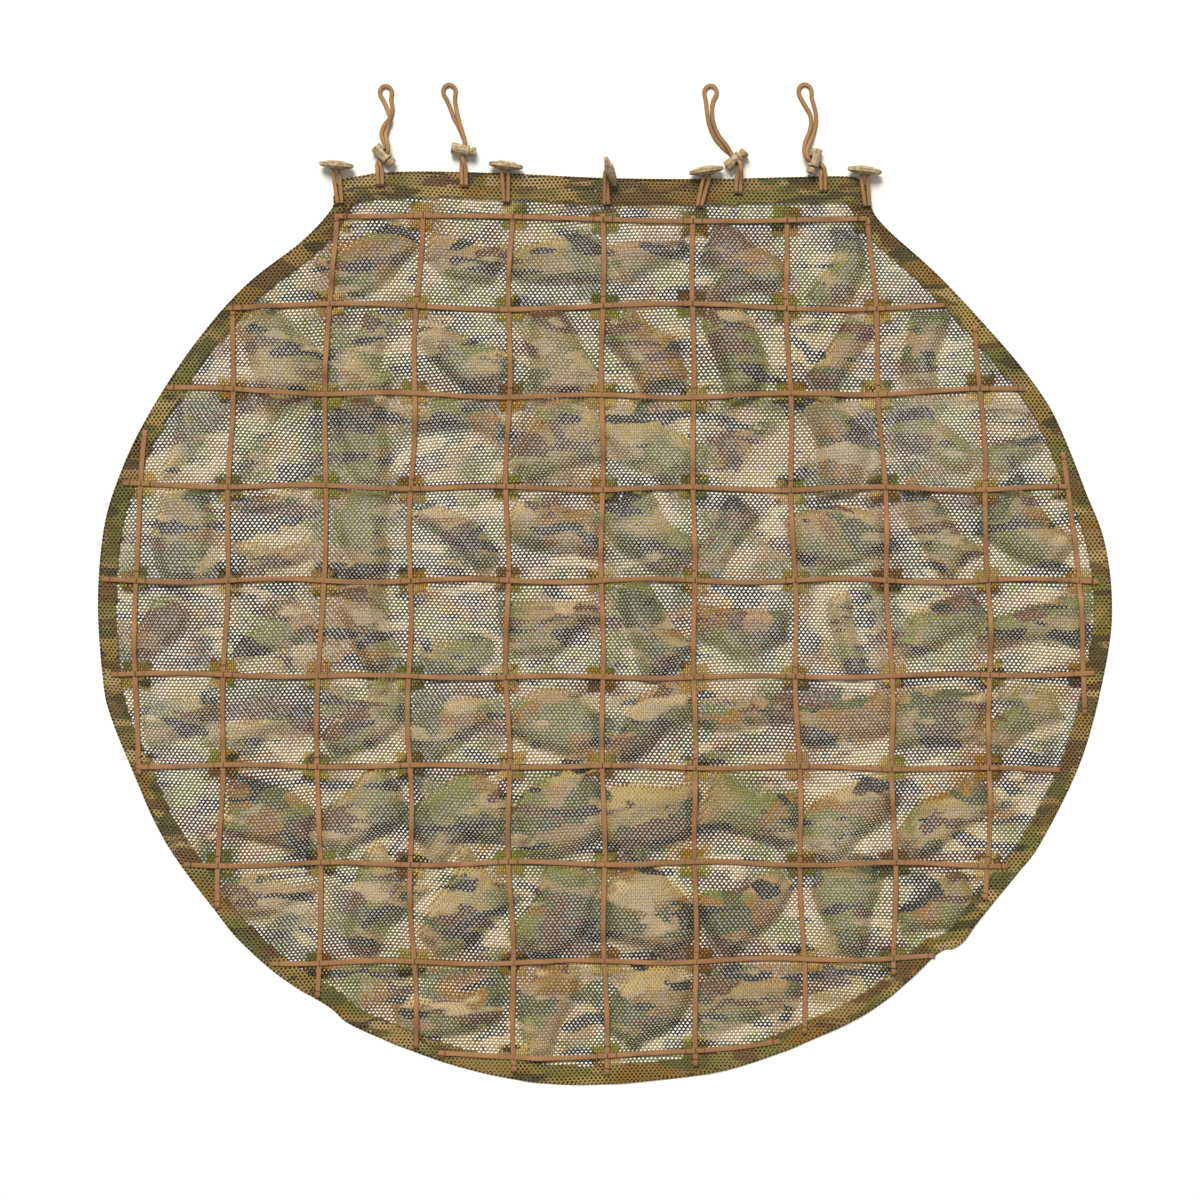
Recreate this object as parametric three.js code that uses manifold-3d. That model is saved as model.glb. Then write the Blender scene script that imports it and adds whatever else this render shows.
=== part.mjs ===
// A mesh drape: one nearly round sheet of open knitted mesh with a straight hem at the top, a grid of
// narrow tapes sewn over it, five toggles on loops of flat cord, and four draw cords with barrel locks.
// It lies flat, face up. Millimetres, +Z up, +Y towards the straight top hem. The origin is on the
// underside of the mesh, where the middle tapes cross.

import * as THREE from 'three';
import { mergeVertices } from 'three/addons/utils/BufferGeometryUtils.js';
import Module from 'manifold-3d';

const GAP = 0.3;                // clear space left between pieces that touch
const MESH_THICK = 1.2;         // one layer of the knitted mesh
const HEM_THICK = 2.4;          // the hem is the mesh folded over once
const HEM_WIDE = 20;            // round the curved edge
const TOP_HEM_WIDE = 32;        // at the straight top edge, measured towards the middle
const TAPE_WIDE = 5.5;
const TAPE_THICK = 1.2;
const CORD_WIDE = 3.6;          // the flat braided cord of the loops and the draw cords
const CORD_THICK = 2.0;
const CORD_PITCH = 4.2;         // between the two strands where they lie side by side

const COLOURS = { mesh: 0x7d7455, tape: 0xa67c52, cord: 0xad8055, plastic: 0x8d8064 };

// The cut edge of the drape, clockwise from the top left corner.
const EDGE = [
  { x: -266, y: 399 }, { x: -245, y: 404 }, { x: -225, y: 407 }, { x: -175, y: 408.5 },
  { x: -85, y: 406 }, { x: 0, y: 402 }, { x: 103, y: 401 }, { x: 175, y: 402.5 },
  { x: 240, y: 403.5 }, { x: 256, y: 399 }, { x: 264, y: 388 }, { x: 266, y: 373 },
  { x: 281, y: 352 }, { x: 338, y: 300 }, { x: 402, y: 230 },
  { x: 437, y: 185 }, { x: 456, y: 150 }, { x: 480, y: 90 }, { x: 500, y: 36 },
  { x: 507, y: -32 }, { x: 498, y: -98 }, { x: 476, y: -180 }, { x: 437, y: -260 },
  { x: 411, y: -295 }, { x: 374, y: -340 }, { x: 360, y: -360 }, { x: 349, y: -368 },
  { x: 332, y: -374 }, { x: 281, y: -420 }, { x: 224, y: -452 },
  { x: 128, y: -488 }, { x: 27, y: -502 }, { x: -60, y: -503 }, { x: -151, y: -485 },
  { x: -247, y: -448 }, { x: -277, y: -426 }, { x: -324, y: -397 }, { x: -363, y: -363 },
  { x: -388, y: -333 }, { x: -440, y: -261 }, { x: -476, y: -182 }, { x: -495, y: -134 },
  { x: -502, y: -100 }, { x: -507, y: -25 }, { x: -502, y: 46 }, { x: -488, y: 98 },
  { x: -459, y: 161 }, { x: -412, y: 234 }, { x: -360, y: 294 }, { x: -303, y: 339 },
  { x: -274, y: 370 }, { x: -271, y: 385 },
];
const EDGE_STEPS = 120;
const MIDDLE = { x: 0, y: -30 };   // the hem's inner edge is the cut edge drawn towards this point
const TOP_EDGE_FROM = 390;         // the straight top edge is all beyond this Y
const CUT_REACH = 60;              // how far above and below the cloth the cuts go
const FLATNESS = 0.02;

// The tapes. Each row says where a tape crosses the middle of the drape, how far it leans over 100 mm,
// how much it curves, how far and in how long a wave it bows from side to side, and where it is sewn
// off at its two ends.
const UPRIGHTS = [
  { at: -469, lean: 2.9, curve: 2.4, bow: 0.6, wave: 30, phase: 0.4, from: -195, to: 150 },
  { at: -378, lean: 2.7, curve: 0.0, bow: 1.4, wave: 30, phase: 1.9, from: -328, to: 272 },
  { at: -283, lean: 2.3, curve: 0.35, bow: 2.8, wave: 56, phase: 0.9, from: -418, to: 366 },
  { at: -195, lean: 1.2, curve: 0.55, bow: 1.8, wave: 30, phase: 2.8, from: -468, to: 366 },
  { at: -98, lean: 0.0, curve: 0.35, bow: 1.8, wave: 30, phase: 1.2, from: -492, to: 366 },
  { at: -3, lean: -0.2, curve: 0.15, bow: 1.2, wave: 30, phase: 3.9, from: -495, to: 366 },
  { at: 89, lean: -0.4, curve: 0.0, bow: 1.0, wave: 30, phase: 0.9, from: -486, to: 364 },
  { at: 189, lean: -2.4, curve: 0.0, bow: 1.4, wave: 30, phase: 2.2, from: -454, to: 363 },
  { at: 282.5, lean: -3.6, curve: -0.44, bow: 1.6, wave: 30, phase: 5.1, from: -395, to: 362 },
  { at: 382.8, lean: -2.4, curve: -0.9, bow: 1.5, wave: 30, phase: 3.3, from: -320, to: 255 },
  { at: 473, lean: -8.4, curve: -2.6, bow: 0.6, wave: 30, phase: 1.5, from: -135, to: 128 },
];
const CROSSWAYS = [
  { at: -476, lean: 3.5, curve: 3.0, bow: 1.0, wave: 30, phase: 0.3, from: -167, to: 175 },
  { at: -381.5, lean: 0.8, curve: 0.2, bow: 1.6, wave: 30, phase: 2.6, from: -333, to: 330 },
  { at: -283, lean: 0.0, curve: -0.1, bow: 1.6, wave: 30, phase: 4.4, from: -421, to: 403 },
  { at: -186.5, lean: -0.4, curve: -0.05, bow: 1.2, wave: 30, phase: 1.1, from: -466, to: 455 },
  { at: -97, lean: 0.0, curve: 0.15, bow: 1.2, wave: 30, phase: 3.0, from: -494, to: 490 },
  { at: -0.5, lean: 0.0, curve: 0.0, bow: 1.8, wave: 30, phase: 0.0, from: -502, to: 494 },
  { at: 91.5, lean: -0.35, curve: 0.1, bow: 1.6, wave: 30, phase: 5.2, from: -482, to: 463 },
  { at: 183.6, lean: 0.0, curve: 0.45, bow: 1.6, wave: 30, phase: 2.0, from: -438, to: 420 },
  { at: 273.4, lean: 0.0, curve: 0.0, bow: 3.0, wave: 52, phase: 0.29, from: -377, to: 340 },
  { at: 361, lean: -0.8, curve: 0.1, bow: -1.7, wave: 70, phase: 0.36, from: -268, to: 262 },
];

// How the tapes are laid.
const TAPE_STEP = 47;
const HEM_STEP = 4;                // in which a tape climbs on to the hem
const LEAST_STEP = 1;
const UPRIGHT_CLIMB = 8;           // how long before the hem's inner edge a tape starts to climb
const CROSSWAY_CLIMB = 17;
const OVER = { top: 4.4, foot: 10, rise: 1.65 };   // where a crossways tape lies over an upright one
const FOOT_HEIGHT = 3.8;           // middle of a cord where it is sewn on to the hem

// Shares of a cell's width at which the sheet is divided. Beside the tapes the mesh lies flat.
const CELL_LINES = [0.1, 0.37, 0.63, 0.9];
const BESIDE_TAPE = 0.2;
const FOLD_FOOT = 0.14;            // the share of a fold's height below which the mesh lies flat

// Where the mesh stands up in soft folds between the tapes: the middle of each fold, the direction of
// its crest in degrees from +X, its length and width, and its height.
const FOLDS = [
  { x: -325, y: 232, turn: -55, long: 64, wide: 26, high: 11 },
  { x: -235, y: 316, turn: 35, long: 60, wide: 20, high: 8 },
  { x: -142, y: 318, turn: -15, long: 50, wide: 18, high: 7 },
  { x: -45, y: 318, turn: 10, long: 60, wide: 20, high: 8 },
  { x: 45, y: 322, turn: 20, long: 50, wide: 14, high: 7 },
  { x: 140, y: 318, turn: -30, long: 50, wide: 18, high: 8 },
  { x: -142, y: 226, turn: -25, long: 60, wide: 18, high: 8 },
  { x: -47, y: 230, turn: -70, long: 60, wide: 26, high: 10 },
  { x: 42, y: 228, turn: -60, long: 55, wide: 22, high: 12 },
  { x: 136, y: 230, turn: -75, long: 60, wide: 18, high: 10 },
  { x: 232, y: 228, turn: 60, long: 50, wide: 16, high: 7 },
  { x: 318, y: 232, turn: 80, long: 50, wide: 16, high: 8 },
  { x: -240, y: 138, turn: 90, long: 80, wide: 20, high: 8 },
  { x: -50, y: 138, turn: 35, long: 60, wide: 26, high: 9 },
  { x: 44, y: 134, turn: -30, long: 70, wide: 22, high: 9 },
  { x: 232, y: 136, turn: -80, long: 70, wide: 20, high: 9 },
  { x: -424, y: 44, turn: 90, long: 60, wide: 22, high: 8 },
  { x: -240, y: 46, turn: 88, long: 80, wide: 22, high: 9 },
  { x: -148, y: 46, turn: -35, long: 60, wide: 16, high: 7 },
  { x: -50, y: 52, turn: -12, long: 60, wide: 18, high: 8 },
  { x: 44, y: 44, turn: -40, long: 60, wide: 24, high: 10 },
  { x: 234, y: 44, turn: 15, long: 60, wide: 24, high: 9 },
  { x: 328, y: 48, turn: -50, long: 60, wide: 16, high: 8 },
  { x: 424, y: 46, turn: -35, long: 60, wide: 22, high: 9 },
  { x: -235, y: -48, turn: -72, long: 80, wide: 20, high: 9 },
  { x: -52, y: -46, turn: 10, long: 60, wide: 20, high: 9 },
  { x: 42, y: -50, turn: -60, long: 60, wide: 20, high: 10 },
  { x: 138, y: -50, turn: -5, long: 60, wide: 18, high: 8 },
  { x: 332, y: -46, turn: 25, long: 60, wide: 18, high: 8 },
  { x: 430, y: -46, turn: 12, long: 70, wide: 18, high: 9 },
  { x: -238, y: -142, turn: 30, long: 60, wide: 20, high: 8 },
  { x: -48, y: -144, turn: -20, long: 60, wide: 24, high: 9 },
  { x: 46, y: -142, turn: 35, long: 60, wide: 18, high: 9 },
  { x: 240, y: -142, turn: 15, long: 60, wide: 20, high: 8 },
  { x: 334, y: -142, turn: 10, long: 60, wide: 22, high: 8 },
  { x: -334, y: -236, turn: -20, long: 60, wide: 20, high: 9 },
  { x: -242, y: -234, turn: 40, long: 60, wide: 20, high: 9 },
  { x: -146, y: -236, turn: 20, long: 60, wide: 24, high: 9 },
  { x: -48, y: -236, turn: 25, long: 60, wide: 26, high: 11 },
  { x: 46, y: -236, turn: 15, long: 60, wide: 22, high: 10 },
  { x: 144, y: -234, turn: -10, long: 60, wide: 20, high: 9 },
  { x: 242, y: -234, turn: 40, long: 60, wide: 20, high: 10 },
  { x: -144, y: -330, turn: 50, long: 60, wide: 20, high: 9 },
  { x: -48, y: -332, turn: 60, long: 60, wide: 22, high: 9 },
  { x: 46, y: -330, turn: -30, long: 60, wide: 26, high: 11 },
  { x: 146, y: -330, turn: 35, long: 60, wide: 20, high: 9 },
  { x: 240, y: -328, turn: 85, long: 60, wide: 20, high: 9 },
  { x: 44, y: -426, turn: 45, long: 56, wide: 22, high: 9 },
];

// The toggles: an oval plastic disc with two slots and a sunk bar between them, round which the loop is
// laid. Each stands on its long rim. x, y, z is its middle, and footX, footY where its loop is sewn. swing, tip and roll turn it, in
// degrees, about Z, then about its own slot direction, then about its own long axis.
const TOGGLE = { long: 34.5, tall: 16, slotWide: 4.6, slotTall: 4.4, slotAt: 3.5, barTo: 0.9, sides: 18 };
const TOGGLE_PROFILE = [
  { out: 0, along: -3.5 }, { out: 8, along: -3.2 }, { out: 14.6, along: -2.3 }, { out: 17.25, along: -1.4 },
  { out: 17.25, along: 1.4 }, { out: 14.6, along: 2.3 }, { out: 8, along: 3.2 }, { out: 0, along: 3.5 },
];
const TOGGLES = [
  { x: -268, y: 414, z: 8.1, footX: -265, footY: 376, swing: -5, tip: 0, roll: 0 },
  { x: -99, y: 413.5, z: 8.1, footX: -99, footY: 377, swing: -7, tip: 0, roll: 0 },
  { x: 5.3, y: 406.5, z: 15.9, footX: 1.5, footY: 375, swing: -69, tip: 40, roll: 12 },
  { x: 101, y: 408.5, z: 8.1, footX: 94, footY: 373, swing: 9, tip: 0, roll: 0 },
  { x: 259, y: 408.5, z: 8.1, footX: 262, footY: 373, swing: -7, tip: 0, roll: 0 },
];
// How the loop's left strand runs. On the way from the foot to the toggle: share of the way, and how
// far the flat cord is turned on edge. Through the slot and round the bar: in the toggle's own axes.
const LOOP_LEAD = [{ share: 0, edgeOn: 0 }, { share: 0.3, edgeOn: 20 }, { share: 0.65, edgeOn: 60 }];
const LOOP_TURN = [{ x: -3.1, y: -5 }, { x: -3.1, y: -0.5 }, { x: -2.9, y: 1.3 }, { x: -1.8, y: 2.3 }];
const LOOP_TOP = 2.6;

// The cord locks: a barrel with a cross hole, and a spring plunger that is pressed into its open end.
// Measured along the barrel's own axis from the cord; the open end and the plunger are on the + side.
const BARREL = { radius: 5.7, flange: 6, flangeLong: 1.8, closed: -12.3, open: 5.2, bore: 4.2, boreEnd: -9.9 };
const PLUNGER = { shaft: 3.75, inner: -7.4, headFrom: 7.6, headTo: 12.2, head: 5.2 };
const ROUNDING = 1.4;
const LOCK_SIDES = 16;
const CROSS_HOLE = { long: 7, wide: 5.2, corner: 1.5, inBarrel: -1, inPlunger: 1 };
const LOCK_HEIGHT = 6.3;

// The draw cords. Each is one flat cord, doubled: its two ends are sewn to the hem, and its strands go
// through a lock and end in a loop. x, y is where they pass through the lock, aim the way the plunger
// points, roll how far the cross hole is turned up from level, and way the direction they go through.
// lead runs from the foot to the lock and tail from the lock to the loop: the middle of the two strands,
// how far they are apart, and how far the one is turned round the other, in degrees.
const IN_LOCK = { reach: 7, apart: 2.5, twist: 90 };
const DRAWS = [
  {
    name: 'a', x: -220.5, y: 423.5, aim: -45, roll: 35, way: 1,
    lead: [
      { x: -224.6, y: 393.5, z: 3.8, apart: 4.2, twist: 0 },
      { x: -224.8, y: 401, z: 3.9, apart: 4.4, twist: 0 },
      { x: -225.2, y: 409.8, z: 4.5, apart: 4.4, twist: 10 },
      { x: -226.4, y: 415.5, z: 3.7, apart: 4.2, twist: 55 },
    ],
    tail: [
      { x: -218.4, y: 436, z: 8.6, apart: 4.2, twist: 60 },
      { x: -221.2, y: 445, z: 4.0, apart: 4.6, twist: 20 },
      { x: -218.5, y: 454, z: 2.3, apart: 4.6, twist: 20 },
      { x: -214.5, y: 462, z: 3.5, apart: 4.2, twist: 90 },
      { x: -215, y: 471, z: 2.6, apart: 5.5, twist: 160 },
      { x: -217.4, y: 479.5, z: 1.8, apart: 7.5, twist: 175 },
      { x: -219, y: 487, z: 1.4, apart: 12, twist: 180 },
    ],
  },
  {
    name: 'b', x: -141, y: 429, aim: -11, roll: 8, way: 1,
    lead: [
      { x: -140.8, y: 393, z: 3.8, apart: 4.2, twist: 0 },
      { x: -141, y: 401, z: 3.9, apart: 4.4, twist: 0 },
      { x: -141.4, y: 410, z: 4.7, apart: 4.4, twist: 20 },
      { x: -141.9, y: 416, z: 5.0, apart: 4.2, twist: 60 },
    ],
    tail: [
      { x: -142.3, y: 445.5, z: 5.2, apart: 3.6, twist: 80 },
      { x: -146, y: 455, z: 3.1, apart: 4.2, twist: 60 },
      { x: -149.5, y: 464, z: 2.2, apart: 4.6, twist: 20 },
      { x: -152, y: 473, z: 1.4, apart: 5.8, twist: 0 },
      { x: -154, y: 480.5, z: 1.4, apart: 8, twist: 0 },
      { x: -155.5, y: 488, z: 1.4, apart: 12.5, twist: 0 },
    ],
  },
  {
    name: 'c', x: 131, y: 420, aim: 39, roll: -35, way: 1,
    lead: [
      { x: 133, y: 386, z: 3.8, apart: 4.2, twist: 0 },
      { x: 133.4, y: 395, z: 4.4, apart: 4.4, twist: 0 },
      { x: 134, y: 403, z: 6.8, apart: 4.6, twist: 30 },
      { x: 135, y: 409.5, z: 10.0, apart: 4.0, twist: 70 },
    ],
    tail: [
      { x: 120, y: 433, z: 2.8, apart: 4.4, twist: 40 },
      { x: 112, y: 443, z: 2.0, apart: 4.4, twist: 10 },
      { x: 106.5, y: 455, z: 1.4, apart: 4.4, twist: 0 },
      { x: 104.4, y: 468, z: 1.4, apart: 5, twist: 0 },
      { x: 104.4, y: 479, z: 1.4, apart: 7.5, twist: 0 },
      { x: 105.4, y: 487, z: 1.4, apart: 12.5, twist: 0 },
    ],
  },
  {
    name: 'd', x: 208.5, y: 418, aim: -105, roll: -35, way: -1,
    lead: [
      { x: 218, y: 388, z: 3.8, apart: 4.2, twist: 0 },
      { x: 217.8, y: 396.5, z: 3.9, apart: 4.4, twist: 0 },
      { x: 217.6, y: 405, z: 4.3, apart: 4.4, twist: 10 },
      { x: 217.4, y: 411.2, z: 3.7, apart: 4.2, twist: 55 },
    ],
    tail: [
      { x: 200, y: 426.5, z: 8.8, apart: 4.2, twist: 60 },
      { x: 202, y: 436.5, z: 4.6, apart: 4.6, twist: 20 },
      { x: 206, y: 446, z: 2.3, apart: 4.4, twist: 0 },
      { x: 208.3, y: 456, z: 1.4, apart: 4.6, twist: 0 },
      { x: 208, y: 465, z: 1.4, apart: 5.6, twist: 0 },
      { x: 204.8, y: 474, z: 1.4, apart: 8, twist: 0 },
      { x: 201.8, y: 481, z: 1.4, apart: 10, twist: 0 },
      { x: 200, y: 488, z: 1.4, apart: 13, twist: 0 },
    ],
  },
];
const LOOP_END = { steps: 6, stretch: 1.15 };   // the rounded end of a draw cord's loop

const UP = new THREE.Vector3(0, 0, 1);
const radians = THREE.MathUtils.degToRad;
const fabric = (color) => new THREE.MeshStandardMaterial({ color, roughness: 0.9, metalness: 0 });
const materials = {
  mesh: fabric(COLOURS.mesh),
  tape: fabric(COLOURS.tape),
  cord: fabric(COLOURS.cord),
  plastic: new THREE.MeshStandardMaterial({ color: COLOURS.plastic, roughness: 0.5, metalness: 0 }),
};

const manifold = await Module();
manifold.setup();

// Solids

function toSolid(geometry) {
  const bare = geometry.clone();
  bare.deleteAttribute('normal');
  bare.deleteAttribute('uv');
  const merged = mergeVertices(bare, 1e-4);
  const corners = merged.index.array;
  const kept = [];
  for (let i = 0; i < corners.length; i += 3) {
    const [a, b, c] = [corners[i], corners[i + 1], corners[i + 2]];
    if (a !== b && b !== c && c !== a) kept.push(a, b, c);
  }
  return new manifold.Manifold(new manifold.Mesh({
    numProp: 3,
    vertProperties: new Float32Array(merged.attributes.position.array),
    triVerts: new Uint32Array(kept),
  }));
}

function toGeometry(solid) {
  const mesh = solid.getMesh();
  const geometry = new THREE.BufferGeometry();
  geometry.setAttribute('position', new THREE.Float32BufferAttribute(mesh.vertProperties, 3));
  geometry.setIndex(new THREE.BufferAttribute(mesh.triVerts, 1));
  const flat = geometry.toNonIndexed();
  flat.computeVertexNormals();
  return flat;
}

function piece(name, geometry, material) {
  const mesh = new THREE.Mesh(geometry, material);
  mesh.name = name;
  return mesh;
}

function prism(points, low, high) {
  const shape = new THREE.Shape(points.map(({ x, y }) => new THREE.Vector2(x, y)));
  const geometry = new THREE.ExtrudeGeometry(shape, { depth: high - low, bevelEnabled: false });
  return geometry.translate(0, 0, low);
}

// Strips and cords

// A path that passes through its stations one by one, each with its own sideways direction, so that a
// flat section stays the way round that it is laid.
class LaidPath extends THREE.CatmullRomCurve3 {
  constructor(stations) {
    super(stations.map((station) => station.point));
    this.sides = stations.map((station) => station.side);
  }

  getSpacedPoints() {
    return this.points.map((point) => point.clone());
  }

  computeFrenetFrames(steps) {
    const frames = { tangents: [], normals: [], binormals: [] };
    this.sides.forEach((side, index) => {
      const tangent = this.getTangent(index / steps);
      const across = side.clone().addScaledVector(tangent, -side.dot(tangent)).normalize();
      frames.tangents.push(tangent);
      frames.binormals.push(across);
      frames.normals.push(new THREE.Vector3().crossVectors(across, tangent));
    });
    return frames;
  }
}

function strip(stations, section) {
  return new THREE.ExtrudeGeometry(section, {
    steps: stations.length - 1,
    extrudePath: new LaidPath(stations),
    bevelEnabled: false,
  });
}

function tapeSection() {
  const [thick, wide] = [TAPE_THICK / 2, TAPE_WIDE / 2];
  const corners = [[-thick, -wide], [thick, -wide], [thick, wide], [-thick, wide]];
  return new THREE.Shape(corners.map(([x, y]) => new THREE.Vector2(x, y)));
}

function cordSection(sides = 8) {
  const points = [];
  for (let i = 0; i < sides; i++) {
    const turn = ((i + 0.5) * 2 * Math.PI) / sides;
    points.push(new THREE.Vector2((CORD_THICK / 2) * Math.cos(turn), (CORD_WIDE / 2) * Math.sin(turn)));
  }
  return new THREE.Shape(points);
}

// The mesh and its hem

function inward(point, distance) {
  const toMiddle = new THREE.Vector3(MIDDLE.x - point.x, MIDDLE.y - point.y, 0).normalize();
  return point.clone().addScaledVector(toMiddle, distance);
}

const edgeCurve = new THREE.CatmullRomCurve3(EDGE.map(({ x, y }) => new THREE.Vector3(x, y, 0)), true);
const edge = edgeCurve.getPoints(EDGE_STEPS).slice(0, -1);
const hemInner = edge.map((point) => inward(point, point.y > TOP_EDGE_FROM ? TOP_HEM_WIDE : HEM_WIDE));

function uprightX(row, y) {
  const s = y / 100;
  return row.at + row.lean * s + row.curve * s * s + row.bow * Math.sin(y / row.wave + row.phase);
}

function crosswayY(row, x) {
  const s = x / 100;
  return row.at + row.lean * s + row.curve * s * s + row.bow * Math.sin(x / row.wave + row.phase);
}

// The sheet is drawn on cells between neighbouring tapes; beyond the outer tapes stand straight lines.
const straight = (at) => ({ at, lean: 0, curve: 0, bow: 0, wave: 1, phase: 0 });
const COLUMNS = [straight(-570), ...UPRIGHTS, straight(560)];
const ROWS = [straight(-560), ...CROSSWAYS, straight(450)];

// Where the place u, v of the grid lies: u counts the upright tapes and v the crossways ones.
function placeInGrid(u, v) {
  const column = Math.min(Math.floor(u), COLUMNS.length - 2);
  const row = Math.min(Math.floor(v), ROWS.length - 2);
  const place = { x: 0, y: 0 };
  for (let pass = 0; pass < 5; pass++) {
    const left = uprightX(COLUMNS[column], place.y);
    const right = uprightX(COLUMNS[column + 1], place.y);
    place.x = THREE.MathUtils.lerp(left, right, u - column);
    const low = crosswayY(ROWS[row], place.x);
    const high = crosswayY(ROWS[row + 1], place.x);
    place.y = THREE.MathUtils.lerp(low, high, v - row);
  }
  return place;
}

function foldHeight(x, y) {
  let height = 0;
  for (const fold of FOLDS) {
    const turn = radians(fold.turn);
    const along = (x - fold.x) * Math.cos(turn) + (y - fold.y) * Math.sin(turn);
    const across = (y - fold.y) * Math.cos(turn) - (x - fold.x) * Math.sin(turn);
    const fade = 1 - THREE.MathUtils.smoothstep(Math.abs(along), fold.long / 4, fold.long * 0.75);
    const share = fade * Math.exp(-((across / fold.wide) ** 2));
    height = Math.max(height, (fold.high * (share - FOLD_FOOT)) / (1 - FOLD_FOOT));
  }
  return height;
}

function gridLines(cells) {
  const lines = [0];
  for (let cell = 0; cell < cells; cell++) {
    CELL_LINES.forEach((share) => lines.push(cell + share));
  }
  return [...lines, cells];
}

function isBesideTape(line) {
  const share = line - Math.floor(line);
  return share < BESIDE_TAPE || share > 1 - BESIDE_TAPE;
}

function sheetSlab() {
  const across = gridLines(COLUMNS.length - 1);
  const up = gridLines(ROWS.length - 1);
  const positions = [];
  for (const layer of [0, MESH_THICK]) {
    for (const v of up) {
      for (const u of across) {
        const { x, y } = placeInGrid(u, v);
        const rise = isBesideTape(u) || isBesideTape(v) ? 0 : foldHeight(x, y);
        positions.push(x, y, rise + layer);
      }
    }
  }
  const corners = [];
  const at = (layer, row, column) => (layer * up.length + row) * across.length + column;
  const quad = (a, b, c, d) => corners.push(a, b, c, a, c, d);   // cut from a to c, the same on both faces
  for (let row = 0; row < up.length - 1; row++) {
    for (let column = 0; column < across.length - 1; column++) {
      quad(at(1, row, column), at(1, row, column + 1), at(1, row + 1, column + 1), at(1, row + 1, column));
      quad(at(0, row, column), at(0, row + 1, column), at(0, row + 1, column + 1), at(0, row, column + 1));
    }
  }
  const lastRow = up.length - 1;
  const lastColumn = across.length - 1;
  for (let column = 0; column < lastColumn; column++) {
    quad(at(0, 0, column), at(0, 0, column + 1), at(1, 0, column + 1), at(1, 0, column));
    quad(at(1, lastRow, column), at(1, lastRow, column + 1), at(0, lastRow, column + 1), at(0, lastRow, column));
  }
  for (let row = 0; row < lastRow; row++) {
    quad(at(1, row, 0), at(1, row + 1, 0), at(0, row + 1, 0), at(0, row, 0));
    quad(at(0, row, lastColumn), at(0, row + 1, lastColumn), at(1, row + 1, lastColumn), at(1, row, lastColumn));
  }
  const geometry = new THREE.BufferGeometry();
  geometry.setAttribute('position', new THREE.Float32BufferAttribute(positions, 3));
  geometry.setIndex(corners);
  return geometry;
}

function meshSheet() {
  const cut = toSolid(prism(edge, -CUT_REACH, CUT_REACH));
  const opening = toSolid(prism(hemInner, -CUT_REACH, CUT_REACH));
  const field = toSolid(sheetSlab()).simplify(FLATNESS).intersect(cut);
  const hem = toSolid(prism(edge, 0, HEM_THICK)).subtract(opening);
  const sheet = field.add(hem).simplify(FLATNESS);   // the flat parts need no more than their outline
  return piece('mesh_sheet', toGeometry(sheet), materials.mesh);
}

// The tapes

function isInside(x, y, outline) {
  let inside = false;
  outline.forEach((a, index) => {
    const b = outline[(index + 1) % outline.length];
    if (a.y > y !== b.y > y && x < ((b.x - a.x) * (y - a.y)) / (b.y - a.y) + a.x) inside = !inside;
  });
  return inside;
}

// The top of the cloth under a tape that climbs on to the hem a little before it.
function clothTop({ x, y }, climb) {
  const clear = hemInner.map((point) => inward(point, climb));
  return isInside(x, y, clear) ? MESH_THICK : HEM_THICK;
}

function tape(name, row, placeAt, climb, crossings, offsets, liftAt) {
  const marks = [row.from, row.to];
  const stretches = Math.round((row.to - row.from) / TAPE_STEP);
  for (let i = 1; i < stretches; i++) {
    marks.push(THREE.MathUtils.lerp(row.from, row.to, i / stretches));
  }
  for (const crossing of crossings) {
    offsets.forEach((offset) => marks.push(crossing + offset));
  }
  for (let mark = row.from; mark < row.to - HEM_STEP; mark += HEM_STEP) {
    const [here, next] = [clothTop(placeAt(mark), climb), clothTop(placeAt(mark + HEM_STEP), climb)];
    if (here !== next) marks.push(mark, mark + HEM_STEP);
  }
  const kept = [];
  for (const mark of marks.sort((a, b) => a - b)) {
    const clear = kept.length === 0 || mark - kept[kept.length - 1] > LEAST_STEP;
    if (clear && mark >= row.from && (mark === row.to || mark < row.to - LEAST_STEP)) kept.push(mark);
  }
  const points = kept.map((mark) => {
    const place = placeAt(mark);
    const z = clothTop(place, climb) + GAP + TAPE_THICK / 2 + liftAt(mark);
    return new THREE.Vector3(place.x, place.y, z);
  });
  const stations = points.map((point, index) => {
    const before = points[Math.max(index - 1, 0)];
    const after = points[Math.min(index + 1, points.length - 1)];
    return { point, side: new THREE.Vector3().subVectors(after, before).cross(UP).normalize() };
  });
  return piece(name, strip(stations, tapeSection()), materials.tape);
}

function upright(row, index) {
  const placeAt = (y) => ({ x: uprightX(row, y), y });
  return tape(`tape_upright_${index + 1}`, row, placeAt, UPRIGHT_CLIMB, [], [], () => 0);
}

// A crossways tape rises over each upright one and comes down to the mesh again between them.
function crossway(row, index) {
  const placeAt = (x) => ({ x, y: crosswayY(row, x) });
  const crossings = [];
  for (const other of UPRIGHTS) {
    let x = other.at;
    for (let pass = 0; pass < 5; pass++) x = uprightX(other, crosswayY(row, x));
    const y = crosswayY(row, x);
    const touches = y > other.from - TAPE_WIDE && y < other.to + TAPE_WIDE;
    if (touches && x > row.from - OVER.foot && x < row.to + OVER.foot) crossings.push(x);
  }
  const liftAt = (mark) => {
    const away = Math.min(...crossings.map((crossing) => Math.abs(mark - crossing)), OVER.foot);
    const share = THREE.MathUtils.clamp((OVER.foot - away) / (OVER.foot - OVER.top), 0, 1);
    return share * OVER.rise;
  };
  const offsets = [-OVER.foot, -OVER.top, OVER.top, OVER.foot];
  return tape(`tape_crossways_${index + 1}`, row, placeAt, CROSSWAY_CLIMB, crossings, offsets, liftAt);
}

// The toggles and their loops

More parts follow.
